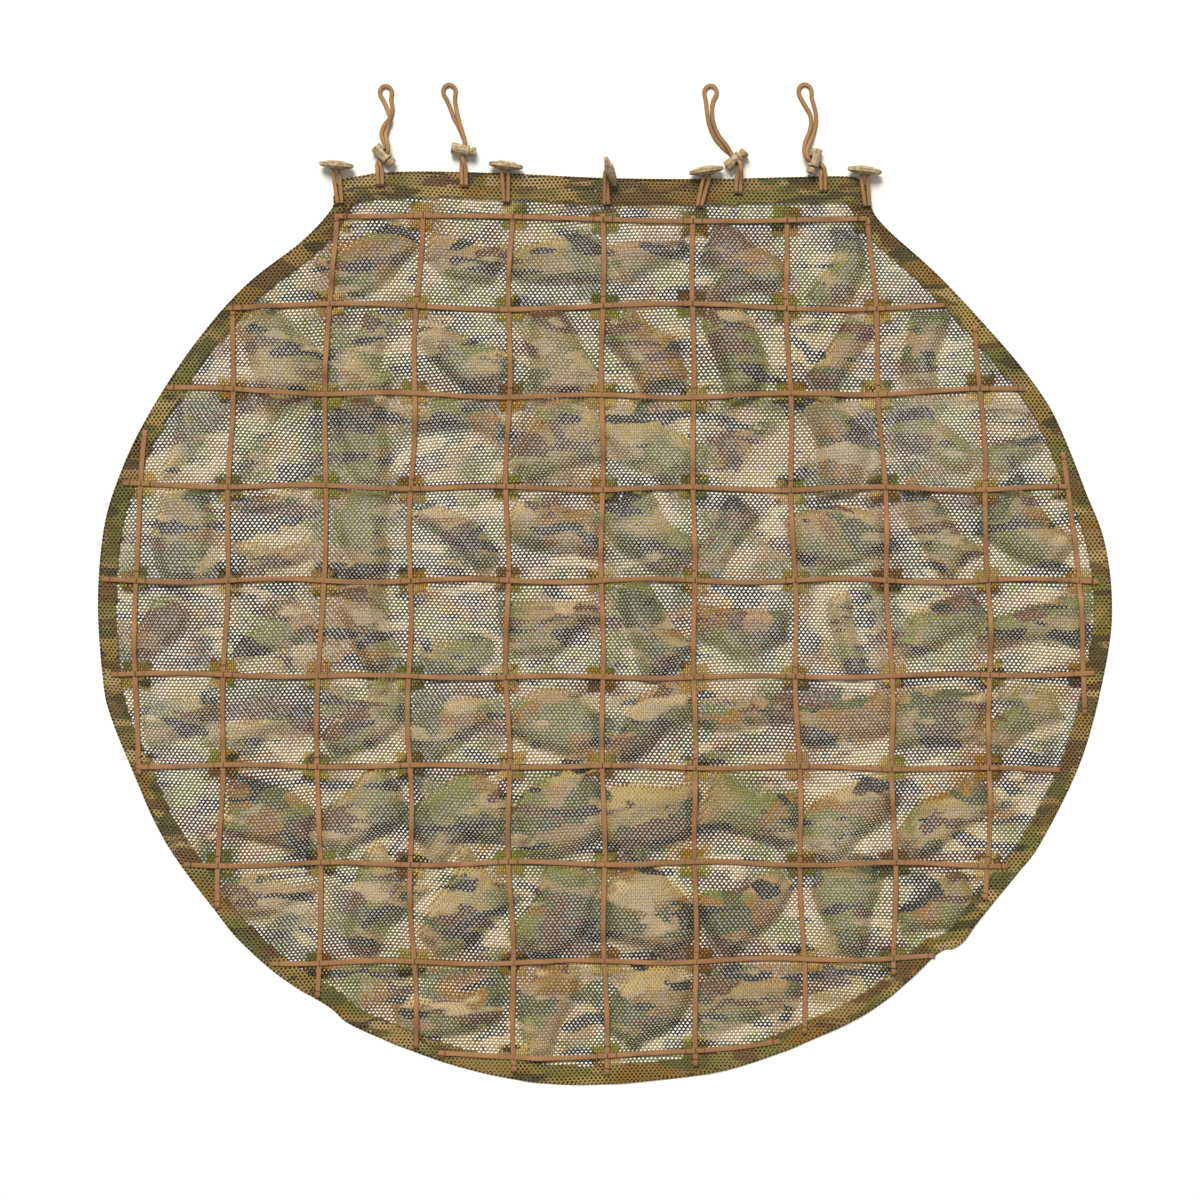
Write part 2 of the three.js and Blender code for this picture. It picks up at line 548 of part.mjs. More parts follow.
function toggleFrame({ x, y, z, swing, tip, roll }) {
  const turn = new THREE.Euler(radians(roll), radians(tip), radians(swing), 'ZYX');
  return new THREE.Matrix4().makeRotationFromEuler(turn).setPosition(x, y, z);
}

function lathe(profile, sides) {
  const closed = [...profile, profile[0]];
  return new THREE.LatheGeometry(closed.map(({ out, along }) => new THREE.Vector2(out, along)), sides);
}

function toggle(row, index) {
  let body = toSolid(lathe(TOGGLE_PROFILE, TOGGLE.sides).scale(1, 1, TOGGLE.tall / TOGGLE.long));
  for (const side of [-1, 1]) {
    const slot = new THREE.BoxGeometry(TOGGLE.slotWide, TOGGLE.long, TOGGLE.slotTall);
    body = body.subtract(toSolid(slot.translate(side * TOGGLE.slotAt, 0, 0)));
  }
  const sunk = new THREE.BoxGeometry(2 * TOGGLE.slotAt, TOGGLE.long, TOGGLE.slotTall);
  body = body.subtract(toSolid(sunk.translate(0, TOGGLE.barTo + TOGGLE.long / 2, 0)));
  const geometry = toGeometry(body).applyMatrix4(toggleFrame(row));
  return piece(`toggle_${index + 1}`, geometry, materials.plastic);
}

function loopStrand(row, side) {
  const frame = toggleFrame(row);
  const local = (x, y) => new THREE.Vector3(x, y, 0).applyMatrix4(frame);
  const onEdge = new THREE.Vector3(0, 0, 1).transformDirection(frame);
  const lateral = new THREE.Vector3(-side, 0, 0);
  const foot = new THREE.Vector3(row.footX + (side * CORD_PITCH) / 2, row.footY, FOOT_HEIGHT);
  const entry = local(side * Math.abs(LOOP_TURN[0].x), LOOP_TURN[0].y);
  const lead = LOOP_LEAD.map(({ share, edgeOn }) => {
    const turn = radians(edgeOn);
    const sideways = lateral.clone().multiplyScalar(Math.cos(turn)).addScaledVector(onEdge, Math.sin(turn));
    return { point: foot.clone().lerp(entry, share), side: sideways };
  });
  const turn = LOOP_TURN.map(({ x, y }) => ({ point: local(side * Math.abs(x), y), side: onEdge }));
  return [...lead, ...turn];
}

function toggleLoop(row, index) {
  const left = loopStrand(row, -1);
  const right = loopStrand(row, 1).reverse();
  const top = { point: new THREE.Vector3(0, LOOP_TOP, 0).applyMatrix4(toggleFrame(row)), side: left[3].side };
  return piece(`toggle_loop_${index + 1}`, strip([...left, top, ...right], cordSection()), materials.cord);
}

// The draw cords and their locks

function lockFrame({ x, y, aim, roll }) {
  const turn = new THREE.Euler(radians(roll), 0, radians(aim), 'ZYX');
  return new THREE.Matrix4().makeRotationFromEuler(turn).setPosition(x, y, LOCK_HEIGHT);
}

function turned(profile) {
  return toSolid(lathe(profile, LOCK_SIDES).rotateZ(-Math.PI / 2));
}

function crossHole(at) {
  const { long, wide, corner } = CROSS_HOLE;
  const [right, top] = [long / 2 - corner, wide / 2 - corner];
  const shape = new THREE.Shape();
  shape.absarc(right, top, corner, 0, Math.PI / 2);
  shape.absarc(-right, top, corner, Math.PI / 2, Math.PI);
  shape.absarc(-right, -top, corner, Math.PI, Math.PI * 1.5);
  shape.absarc(right, -top, corner, Math.PI * 1.5, Math.PI * 2);
  const depth = 4 * BARREL.flange;
  const geometry = new THREE.ExtrudeGeometry(shape, { depth, bevelEnabled: false, curveSegments: 2 });
  return toSolid(geometry.translate(0, 0, -depth / 2).rotateX(Math.PI / 2).translate(at, 0, 0));
}

function barrel(row) {
  const { radius, flange, flangeLong, closed, open, bore, boreEnd } = BARREL;
  const profile = [
    { out: 0, along: closed }, { out: radius - ROUNDING, along: closed },
    { out: radius, along: closed + ROUNDING }, { out: radius, along: open - flangeLong },
    { out: flange, along: open - flangeLong }, { out: flange, along: open },
    { out: bore, along: open }, { out: bore, along: boreEnd }, { out: 0, along: boreEnd },
  ];
  const body = turned(profile).subtract(crossHole(CROSS_HOLE.inBarrel));
  return piece(`lock_barrel_${row.name}`, toGeometry(body).applyMatrix4(lockFrame(row)), materials.plastic);
}

function plunger(row) {
  const { shaft, inner, headFrom, headTo, head } = PLUNGER;
  const profile = [
    { out: 0, along: inner }, { out: shaft, along: inner }, { out: shaft, along: headFrom },
    { out: head, along: headFrom }, { out: head, along: headTo - ROUNDING },
    { out: head - ROUNDING, along: headTo }, { out: 0, along: headTo },
  ];
  const body = turned(profile).subtract(crossHole(CROSS_HOLE.inPlunger));
  return piece(`lock_plunger_${row.name}`, toGeometry(body).applyMatrix4(lockFrame(row)), materials.plastic);
}

function drawCord(row) {
  const frame = lockFrame(row);
  const inLock = [-1, 0, 1].map((step) => {
    const { x, y, z } = new THREE.Vector3(0, step * row.way * IN_LOCK.reach, 0).applyMatrix4(frame);
    return { x, y, z, apart: IN_LOCK.apart, twist: IN_LOCK.twist };
  });
  const rows = [...row.lead, ...inLock, ...row.tail];
  const middle = new THREE.CatmullRomCurve3(rows.map(({ x, y, z }) => new THREE.Vector3(x, y, z)));
  const last = rows.length - 1;
  const outward = Math.sign(Math.cos(radians(rows[last].twist)));
  const strand = (hand) => rows.map(({ apart, twist }, index) => {
    const along = middle.getTangent(index / last);
    const lateral = along.clone().cross(UP).normalize();
    const over = lateral.clone().cross(along);
    const away = lateral.clone().multiplyScalar(Math.cos(radians(twist)));
    away.addScaledVector(over, Math.sin(radians(twist)));
    const point = middle.points[index].clone().addScaledVector(away, (hand * apart) / 2);
    return { point, side: lateral.multiplyScalar(hand * outward) };
  });
  const [first, second] = [strand(1), strand(-1)];
  const [start, finish] = [first[last], second[last]];
  const centre = start.point.clone().lerp(finish.point, 0.5);
  const radius = start.point.clone().sub(centre);
  const onward = middle.getTangent(1).setZ(0).setLength(radius.length());
  const end = [];
  for (let i = 1; i < LOOP_END.steps; i++) {
    const turn = (i * Math.PI) / LOOP_END.steps;
    const point = centre.clone().addScaledVector(radius, Math.cos(turn));
    point.addScaledVector(onward, Math.sin(turn) * LOOP_END.stretch);
    const side = start.side.clone().multiplyScalar(Math.cos(turn));
    end.push({ point, side: side.addScaledVector(onward.clone().normalize(), Math.sin(turn)) });
  }
  const stations = [...first, ...end, ...second.reverse()];
  return piece(`draw_cord_${row.name}`, strip(stations, cordSection()), materials.cord);
}

const drape = new THREE.Group();
drape.name = 'mesh_drape';
drape.add(meshSheet());
UPRIGHTS.forEach((row, index) => drape.add(upright(row, index)));
CROSSWAYS.forEach((row, index) => drape.add(crossway(row, index)));
TOGGLES.forEach((row, index) => drape.add(toggleLoop(row, index), toggle(row, index)));
DRAWS.forEach((row) => drape.add(drawCord(row), barrel(row), plunger(row)));

export default drape;
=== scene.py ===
"""A mesh drape laid out face up: an open knitted sheet with a folded hem, tapes sewn over it in a grid,
five oval toggles on loops of flat cord, and four doubled draw cords with barrel locks.

All is worked out in millimetres, in the frame of the solids, and made in metres.
"""

import math
from collections import namedtuple

import bpy
import numpy as np
from mathutils import Euler, Matrix, Vector


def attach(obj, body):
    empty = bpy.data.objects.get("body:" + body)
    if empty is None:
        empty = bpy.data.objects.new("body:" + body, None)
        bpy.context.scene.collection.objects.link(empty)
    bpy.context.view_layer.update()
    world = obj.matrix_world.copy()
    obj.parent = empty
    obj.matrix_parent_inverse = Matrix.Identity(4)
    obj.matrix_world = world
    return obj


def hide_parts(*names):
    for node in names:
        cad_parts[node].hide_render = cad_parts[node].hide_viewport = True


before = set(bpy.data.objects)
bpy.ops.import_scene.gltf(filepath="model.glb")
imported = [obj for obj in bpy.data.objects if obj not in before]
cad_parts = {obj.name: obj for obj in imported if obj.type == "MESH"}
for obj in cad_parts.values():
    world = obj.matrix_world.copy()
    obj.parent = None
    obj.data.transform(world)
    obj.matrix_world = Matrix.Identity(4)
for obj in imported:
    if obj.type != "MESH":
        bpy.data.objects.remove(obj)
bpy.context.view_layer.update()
MM = 0.001

# ---------------- tables of the solids

HEM_WIDE, TOP_HEM_WIDE, TOP_FROM = 20.0, 28.0, 390.0      # round the hem, along the top, and from where
TOP_HEM_FROM = 372.0        # for the folds, which the wider hem holds down from here up
HEM_RISE = 0.9              # of what lies on the hem's second layer
TAPE_WIDE = 5.5
CORD_WIDE, CORD_THICK, CORD_PITCH = 3.6, 2.0, 4.2       # as a plain cord, flat, and two side by side
CORD_HALF = 2.1             # of the flat braid's width
MIDDLE = (0.0, -30.0)
PITCH, ROW = 4.2, 2.95      # between neighbouring holes of a row of the mesh, and between its rows
SHEET_OPEN, HEM_OPEN, TOP_OPEN, PATCH_OPEN, BAND_OPEN = 0.66, 0.46, 0.5, 0.5, 0.42    # holes to their cells

EDGE = [
    (-266, 399), (-245, 404), (-225, 407), (-175, 408.5), (-85, 406), (0, 402), (103, 401),
    (175, 402.5), (240, 403.5), (256, 399), (264, 388), (266, 373), (281, 352), (338, 300),
    (402, 230), (437, 185), (456, 150), (480, 90), (500, 36), (507, -32), (498, -98), (476, -180),
    (437, -260), (411, -295), (374, -340), (360, -360), (349, -368), (332, -374), (281, -420),
    (224, -452), (128, -488), (27, -502), (-60, -503), (-151, -485), (-247, -448), (-277, -426),
    (-324, -397), (-363, -363), (-388, -333), (-440, -261), (-476, -182), (-495, -134),
    (-502, -100), (-507, -25), (-502, 46), (-488, 98), (-459, 161), (-412, 234), (-360, 294),
    (-303, 339), (-274, 370), (-271, 385),
]

# Each tape: where it crosses the middle, lean and curve over 100 mm, its side bow with wave and phase,
# and where it is sewn off at its two ends.
Tape = namedtuple("Tape", "middle lean curve bow wave phase start end")
UPRIGHTS = [Tape(*row) for row in [
    (-469, 2.9, 2.4, 0.6, 30, 0.4, -195, 150), (-378, 2.7, 0.0, 1.4, 30, 1.9, -328, 272),
    (-283, 2.3, 0.35, 2.8, 56, 0.9, -418, 366), (-195, 1.2, 0.55, 1.8, 30, 2.8, -468, 366),
    (-98, 0.0, 0.35, 1.8, 30, 1.2, -492, 366), (-3, -0.2, 0.15, 1.2, 30, 3.9, -495, 366),
    (89, -0.4, 0.0, 1.0, 30, 0.9, -486, 364), (189, -2.4, 0.0, 1.4, 30, 2.2, -454, 363),
    (282.5, -3.6, -0.44, 1.6, 30, 5.1, -395, 362), (382.8, -2.4, -0.9, 1.5, 30, 3.3, -320, 255),
    (473, -8.4, -2.6, 0.6, 30, 1.5, -135, 128),
]]
CROSSWAYS = [Tape(*row) for row in [
    (-476, 3.5, 3.0, 1.0, 30, 0.3, -167, 175), (-381.5, 0.8, 0.2, 1.6, 30, 2.6, -333, 330),
    (-283, 0.0, -0.1, 1.6, 30, 4.4, -421, 403), (-186.5, -0.4, -0.05, 1.2, 30, 1.1, -466, 455),
    (-97, 0.0, 0.15, 1.2, 30, 3.0, -494, 490), (-0.5, 0.0, 0.0, 1.8, 30, 0.0, -502, 494),
    (91.5, -0.35, 0.1, 1.6, 30, 5.2, -482, 463), (183.6, 0.0, 0.45, 1.6, 30, 2.0, -438, 420),
    (273.4, 0.0, 0.0, 3.0, 52, 0.29, -377, 340), (361, -0.8, 0.1, -1.7, 70, 0.36, -268, 262),
]]

# Soft folds that stand up between the tapes: middle, direction of the crest, length, width, height.
FOLDS = [
    (-325, 232, -55, 64, 26, 11), (-235, 316, 35, 60, 20, 8), (-142, 318, -15, 50, 18, 7),
    (-45, 318, 10, 60, 20, 8), (45, 322, 20, 50, 14, 7), (140, 318, -30, 50, 18, 8),
    (-142, 226, -25, 60, 18, 8), (-47, 230, -70, 60, 26, 10), (42, 228, -60, 55, 22, 12),
    (136, 230, -75, 60, 18, 10), (232, 228, 60, 50, 16, 7), (318, 232, 80, 50, 16, 8),
    (-240, 138, 90, 80, 20, 8), (-50, 138, 35, 60, 26, 9), (44, 134, -30, 70, 22, 9),
    (232, 136, -80, 70, 20, 9), (-424, 44, 90, 60, 22, 8), (-240, 46, 88, 80, 22, 9),
    (-148, 46, -35, 60, 16, 7), (-50, 52, -12, 60, 18, 8), (44, 44, -40, 60, 24, 10),
    (234, 44, 15, 60, 24, 9), (328, 48, -50, 60, 16, 8), (424, 46, -35, 60, 22, 9),
    (-235, -48, -72, 80, 20, 9), (-52, -46, 10, 60, 20, 9), (42, -50, -60, 60, 20, 10),
    (138, -50, -5, 60, 18, 8), (332, -46, 25, 60, 18, 8), (430, -46, 12, 70, 18, 9),
    (-238, -142, 30, 60, 20, 8), (-48, -144, -20, 60, 24, 9), (46, -142, 35, 60, 18, 9),
    (240, -142, 15, 60, 20, 8), (334, -142, 10, 60, 22, 8), (-334, -236, -20, 60, 20, 9),
    (-242, -234, 40, 60, 20, 9), (-146, -236, 20, 60, 24, 9), (-48, -236, 25, 60, 26, 11),
    (46, -236, 15, 60, 22, 10), (144, -234, -10, 60, 20, 9), (242, -234, 40, 60, 20, 10),
    (-144, -330, 50, 60, 20, 9), (-48, -332, 60, 60, 22, 9), (46, -330, -30, 60, 26, 11),
    (146, -330, 35, 60, 20, 9), (240, -328, 85, 60, 20, 9), (44, -426, 45, 56, 22, 9),
    # lower ones, and the flat humps beside the larger folds
    (240, 312, 80, 46, 18, 6), (130, 296, 25, 44, 14, 5), (-145, 166, -8, 60, 12, 6),
    (-335, 82, 5, 50, 10, 4), (-332, 26, 3, 52, 9, 4), (118, 38, 55, 50, 16, 5),
    (-452, -56, 60, 44, 16, 6), (-338, -58, 35, 60, 14, 4), (-146, -78, 20, 44, 14, 5),
    (-160, -148, 25, 56, 18, 6), (140, -136, 3, 64, 12, 5), (-345, -150, 4, 72, 12, 4),
    (-232, -328, 62, 60, 18, 7), (-345, -318, 8, 70, 12, 5), (-150, -436, 10, 66, 14, 6),
    (-62, -432, 75, 56, 16, 7), (140, -420, 10, 70, 18, 4), (340, -236, 32, 64, 16, 7),
    (330, -326, 10, 50, 16, 5), (-240, 226, 60, 50, 14, 5), (330, 140, -25, 54, 14, 5),
    (-420, 132, 70, 46, 12, 4), (410, 128, 20, 50, 14, 4), (140, 138, 20, 44, 10, 3),
    (238, -52, -75, 52, 12, 5), (-420, -142, 15, 50, 14, 5), (416, -142, 30, 52, 16, 6),
]

# Sharp creases from the way it was folded for packing: from, to, height and half width.
CREASES = [
    (-268, 360, -286, -110, 4.0, 6), (-236, 196, -232, -96, 3.0, 6), (268, 190, 282, -120, 4.0, 6),
    (-4, 190, -2, -120, 3.0, 6), (-480, 182, 470, 176, 2.6, 6), (-490, -128, 470, -118, 2.2, 5),
    (-380, -330, -250, -336, 3.4, 7), (-310, -390, 300, -382, 3.2, 7), (-300, -416, 250, -410, 2.4, 6),
    (-450, 12, -300, -2, 1.6, 5), (60, 90, 200, 6, 1.6, 5), (-200, -190, -120, -270, 2.0, 6),
    (300, 120, 430, 40, 2.0, 6), (100, -180, 190, -260, 2.0, 6), (-120, 150, -20, 90, 1.8, 6),
]

TOGGLE_LONG, TOGGLE_TALL = 34.5, 16.0
SLOT_WIDE, SLOT_TALL, SLOT_AT = 4.6, 4.4, 3.5
# Each toggle: its middle, the foot of its loop on the hem, and how it is turned.
Toggle = namedtuple("Toggle", "x y z foot_x foot_y swing tip roll")
TOGGLES = [Toggle(*row) for row in [
    (-268, 414, 8.1, -265, 376, -5, 0, 0), (-99, 413.5, 8.1, -99, 377, -7, 0, 0),
    (5.3, 406.5, 15.9, 1.5, 375, -69, 40, 12), (101, 408.5, 8.1, 94, 373, 9, 0, 0),
    (259, 408.5, 8.1, 262, 373, -7, 0, 0),
]]
FOOT_HEIGHT = 3.8
LOOP_ENTRY = (3.1, -5)      # where a strand comes to its toggle, in the toggle's own X and Y
LOOP_LEAD = [(0, 0), (0.3, 0), (0.65, 6), (0.88, 40)]       # shares of the way there, and twist
LOOP_TURN = [(3.1, -4), (3.1, -0.5), (2.9, 1.3), (1.8, 2.3)]
LOOP_TOP = 2.6

BARREL = {"radius": 5.7, "flange": 6.0, "flange_long": 1.8, "closed": -12.3, "open": 5.2,
          "bore": 4.2, "bore_end": -9.9}
PLUNGER = {"shaft": 3.75, "inner": -7.4, "head_from": 7.6, "head_to": 12.2, "head": 5.2}
LOCK_HEIGHT = 6.3
HOLE = {"long": 7.0, "wide": 5.2, "in_barrel": -1.0, "in_plunger": 1.0}
IN_LOCK = {"reach": 7.0, "apart": 2.5, "twist": 90}
# Each draw cord: name, where it passes through its lock, aim, roll, way, then the stations of the two
# strands before and after the lock: middle, how far apart, and twist.
Draw = namedtuple("Draw", "name x y aim roll way lead tail")
DRAWS = [Draw(*row) for row in [
    ("a", -220.5, 423.5, -45, 35, 1,
     [(-224.6, 393.5, 3.8, 4.2, 0), (-224.8, 401, 3.9, 4.4, 0), (-225.2, 409.8, 4.5, 4.4, 10),
      (-226.4, 415.5, 3.7, 4.2, 55)],
     [(-218.4, 436, 8.6, 4.2, 60), (-221.2, 445, 4.0, 4.6, 20), (-218.5, 454, 2.3, 4.6, 20),
      (-214.5, 462, 3.5, 4.2, 90), (-215, 471, 2.6, 5.5, 160), (-217.4, 479.5, 1.8, 7.5, 175),
      (-219, 487, 1.4, 12, 180)]),
    ("b", -141, 429, -11, 8, 1,
     [(-140.8, 393, 3.8, 4.2, 0), (-141, 401, 3.9, 4.4, 0), (-141.4, 410, 4.7, 4.4, 20),
      (-141.9, 416, 5.0, 4.2, 60)],
     [(-142.3, 445.5, 5.2, 3.6, 80), (-146, 455, 3.1, 4.2, 60), (-149.5, 464, 2.2, 4.6, 20),
      (-152, 473, 1.4, 5.8, 0), (-154, 480.5, 1.4, 8, 0), (-155.5, 488, 1.4, 12.5, 0)]),
    ("c", 131, 420, 39, -35, 1,
     [(133, 386, 3.8, 4.2, 0), (133.4, 395, 4.4, 4.4, 0), (134, 403, 6.8, 4.6, 30),
      (135, 409.5, 10.0, 4.0, 70)],
     [(120, 433, 2.8, 4.4, 40), (112, 443, 2.0, 4.4, 10), (106.5, 455, 1.4, 4.4, 0),
      (104.4, 468, 1.4, 5, 0), (104.4, 479, 1.4, 7.5, 0), (105.4, 487, 1.4, 12.5, 0)]),
    ("d", 208.5, 418, -105, -35, -1,
     [(218, 388, 3.8, 4.2, 0), (217.8, 396.5, 3.9, 4.4, 0), (217.6, 405, 4.3, 4.4, 10),
      (217.4, 411.2, 3.7, 4.2, 55)],
     [(200, 426.5, 8.8, 4.2, 60), (202, 436.5, 4.6, 4.6, 20), (206, 446, 2.3, 4.4, 0),
      (208.3, 456, 1.4, 4.6, 0), (208, 465, 1.4, 5.6, 0), (204.8, 474, 1.4, 8, 0),
      (201.8, 481, 1.4, 10, 0), (200, 488, 1.4, 13, 0)]),
]]
LOOP_END_STEPS, LOOP_END_STRETCH = 6, 1.15

# ---------------- camera, light and floor

EYE, LENS, SENSOR = (-0.005, -0.020, 3.3333), 100, 36
TO_THE_SUN, SUN_LEVEL, SUN_SPREAD = (-0.16, 0.66, 0.73), 3.9, 30
SKY_LEVEL = 0.3
FLOOR_SIZE, FLOOR_DROP = 9, 0.0003
FLOOR_LIT, FLOOR_SEEN = (0.98, 0.92, 0.77, 1), (1.0, 0.945, 0.855, 1)     # as it lights cloth, as it looks

bpy.ops.object.camera_add(location=EYE, rotation=(0, 0, 0))
camera = bpy.context.object
camera.data.lens, camera.data.sensor_width = LENS, SENSOR
camera.data.clip_end = 30
bpy.context.scene.camera = camera

bpy.ops.object.light_add(type="SUN", rotation=Vector(TO_THE_SUN).to_track_quat("Z", "Y").to_euler())
sun = bpy.context.object.data
sun.energy, sun.angle = SUN_LEVEL, math.radians(SUN_SPREAD)
bpy.context.scene.view_settings.view_transform = "Standard"


class Wire:
    """A socket in a material or the world, which adds Math nodes when it is reckoned with."""

    def __init__(self, tree, socket=None):
        self.tree, self.socket = tree, socket

    def add(self, kind, settings=None, sockets=None, out=0):
        node = self.tree.nodes.new(kind)
        for name, value in (settings or {}).items():
            if name == "stops":
                for place, (at, colour) in enumerate(value):
                    stop = node.color_ramp.elements[place] if place < 2 else None
                    stop = stop or node.color_ramp.elements.new(at)
                    stop.position, stop.color = at, (*colour, 1)
            else:
                setattr(node, name, value)
        for name, value in (sockets or {}).items():
            if isinstance(value, Wire):
                self.tree.links.new(value.socket, node.inputs[name])
            else:
                node.inputs[name].default_value = value
        return Wire(self.tree, node.outputs[out])

    def reckon(self, operation, *values):
        return self.add("ShaderNodeMath", {"operation": operation}, dict(enumerate(values)))

    def __add__(self, other):
        return self.reckon("ADD", self, other)

    def __sub__(self, other):
        return self.reckon("SUBTRACT", self, other)

    def __rsub__(self, other):
        return self.reckon("SUBTRACT", other, self)

    def __mul__(self, other):
        return self.reckon("MULTIPLY", self, other)

    __radd__, __rmul__ = __add__, __mul__

    def noise(self, scale, detail=2.0, rough=0.5, bend=0.0):
        sockets = {"Vector": self, "Scale": scale, "Detail": detail, "Roughness": rough, "Distortion": bend}
        return self.add("ShaderNodeTexNoise", {"noise_dimensions": "2D"}, sockets)

    def moved(self, shift=(0, 0, 0), stretch=(1, 1, 1)):
        return self.add("ShaderNodeMapping", None, {"Vector": self, "Location": shift, "Scale": stretch})

    def step(self, low, high):
        sockets = {"Value": self, "From Min": low, "From Max": high}
        return self.add("ShaderNodeMapRange", {"interpolation_type": "SMOOTHSTEP"}, sockets)

    def between(self, first, second):
        """The colour that is this share of the way from the first to the second."""
        return self.add("ShaderNodeMix", {"data_type": "RGBA"}, {0: self, 6: first, 7: second}, out=2)

    def darkened(self, shade):
        """This colour times a grey of this value."""
        grey = self.add("ShaderNodeCombineColor", None, {0: shade, 1: shade, 2: shade})
        settings = {"data_type": "RGBA", "blend_type": "MULTIPLY"}
        return self.add("ShaderNodeMix", settings, {0: 1.0, 6: self, 7: grey}, out=2)

    def uv(self, name):
        """The two coordinates of a map of the mesh."""
        split = self.add("ShaderNodeSeparateXYZ", None, {0: self.add("ShaderNodeUVMap", {"uv_map": name})})
        return split, Wire(self.tree, split.socket.node.outputs[1])

    def own_place(self):
        """The place on the object, in its own coordinates."""
        return self.add("ShaderNodeTexCoord", out=3)


def rgb(red, green, blue):
    """A colour of the shader from its usual 0 to 255 values."""
    linear = [((c / 255 + 0.055) / 1.055) ** 2.4 if c > 10 else c / 255 / 12.92 for c in (red, green, blue)]
    return (*linear, 1)


def seen_directly(wire):
    """1 for what the camera sees straight, in a mirror or through glass, and 0 for light."""
    outputs = wire.add("ShaderNodeLightPath").socket.node.outputs
    camera_ray, mirrored, through_glass = (
        Wire(wire.tree, outputs[name]) for name in ("Is Camera Ray", "Is Glossy Ray", "Is Transmission Ray")
    )
    return wire.reckon("MINIMUM", camera_ray + mirrored + through_glass, 1.0)


world = bpy.data.worlds.new("studio")
bpy.context.scene.world = world
world.use_nodes = True
sky = Wire(world.node_tree)
background = world.node_tree.nodes["Background"]
background.inputs["Color"].default_value = (1, 1, 1, 1)
level = seen_directly(sky) * (1 - SKY_LEVEL) + SKY_LEVEL
world.node_tree.links.new(level.socket, background.inputs["Strength"])

bpy.ops.mesh.primitive_plane_add(size=FLOOR_SIZE, location=(0, 0, -FLOOR_DROP))
floor = bpy.context.object
floor.name = "floor"
floor_paint = bpy.data.materials.new("white floor")
floor_paint.use_nodes = True
paint = Wire(floor_paint.node_tree)
floor_paint.node_tree.nodes.remove(floor_paint.node_tree.nodes["Principled BSDF"])
white = seen_directly(paint).between(FLOOR_LIT, FLOOR_SEEN)
matt = paint.add("ShaderNodeBsdfDiffuse", None, {"Color": white})
floor_paint.node_tree.links.new(matt.socket, floor_paint.node_tree.nodes["Material Output"].inputs["Surface"])
floor.data.materials.append(floor_paint)

# ---------------- making meshes


def mesh_piece(name, points, polygons, finish, smooth=True, flat_map=None, weave=None, opening=None):
    """A piece from points in millimetres and polygons in groups of equal length. flat_map is the place
    of each corner on the bake map, weave an extra map that the yarns follow, and opening a third one with
    the size of the hole next to it."""
    points = np.asarray(points, float)
    groups = [np.asarray(group, int) for group in polygons if len(group)]
    corners = np.concatenate([group.ravel() for group in groups])
    sizes = np.concatenate([np.full(len(group), group.shape[1]) for group in groups])
    starts = np.concatenate([[0], np.cumsum(sizes)[:-1]])
    mesh = bpy.data.meshes.new(name)
    mesh.vertices.add(len(points))
    mesh.vertices.foreach_set("co", (points * MM).ravel())
    mesh.loops.add(len(corners))
    mesh.loops.foreach_set("vertex_index", corners)
    mesh.polygons.add(len(sizes))
    mesh.polygons.foreach_set("loop_start", starts)
    mesh.polygons.foreach_set("use_smooth", np.full(len(sizes), smooth))
    mesh.update(calc_edges=True)
    mesh.validate()
    for label, places in (("weave", weave), ("opening", opening), ("OFBake", flat_map)):
        if places is not None:
            layer = mesh.uv_layers.new(name=label)
            layer.data.foreach_set("uv", np.asarray(places, float)[corners].ravel())
    made = bpy.data.objects.new(name, mesh)
    bpy.context.collection.objects.link(made)
    mesh.materials.append(finish)
    return made


def seen_from_above(points):
    """A bake map that is the plan of the piece."""
    low = points[:, :2].min(0)
    return 0.01 + 0.98 * (points[:, :2] - low) / (points[:, :2].max(0) - low).max()


def waves(x, y, size, seed, count=14):
    """A smooth random surface of about -1 to 1, with humps of about this size."""
    dice = np.random.default_rng(seed)
    total = np.zeros_like(np.asarray(x, float))
    for _ in range(count):
        turn, long = dice.uniform(0, 2 * math.pi), size * dice.uniform(0.7, 1.6)
        phase = dice.uniform(0, 2 * math.pi)
        total += np.sin(2 * math.pi * (x * math.cos(turn) + y * math.sin(turn)) / long + phase)
    return total * math.sqrt(2 / count) / 1.5


def smooth_step(value, low, high):
    """0 up to the low value, 1 from the high one on, and a soft rise between them."""
    share = np.clip((value - low) / (high - low), 0, 1)
    return share * share * (3 - 2 * share)


# ---------------- finishes


def cloth_finish(name, roughness=0.85):
    """A new material, a wire to start from, and its shader."""
    material = bpy.data.materials.new(name)
    material.use_nodes = True
    shader = material.node_tree.nodes["Principled BSDF"]
    shader.inputs["Roughness"].default_value = roughness
    shader.inputs["Specular IOR Level"].default_value = 0.25
    return material, Wire(material.node_tree), shader


def to_shader(wire, shader, name):
    wire.tree.links.new(wire.socket, shader.inputs[name])


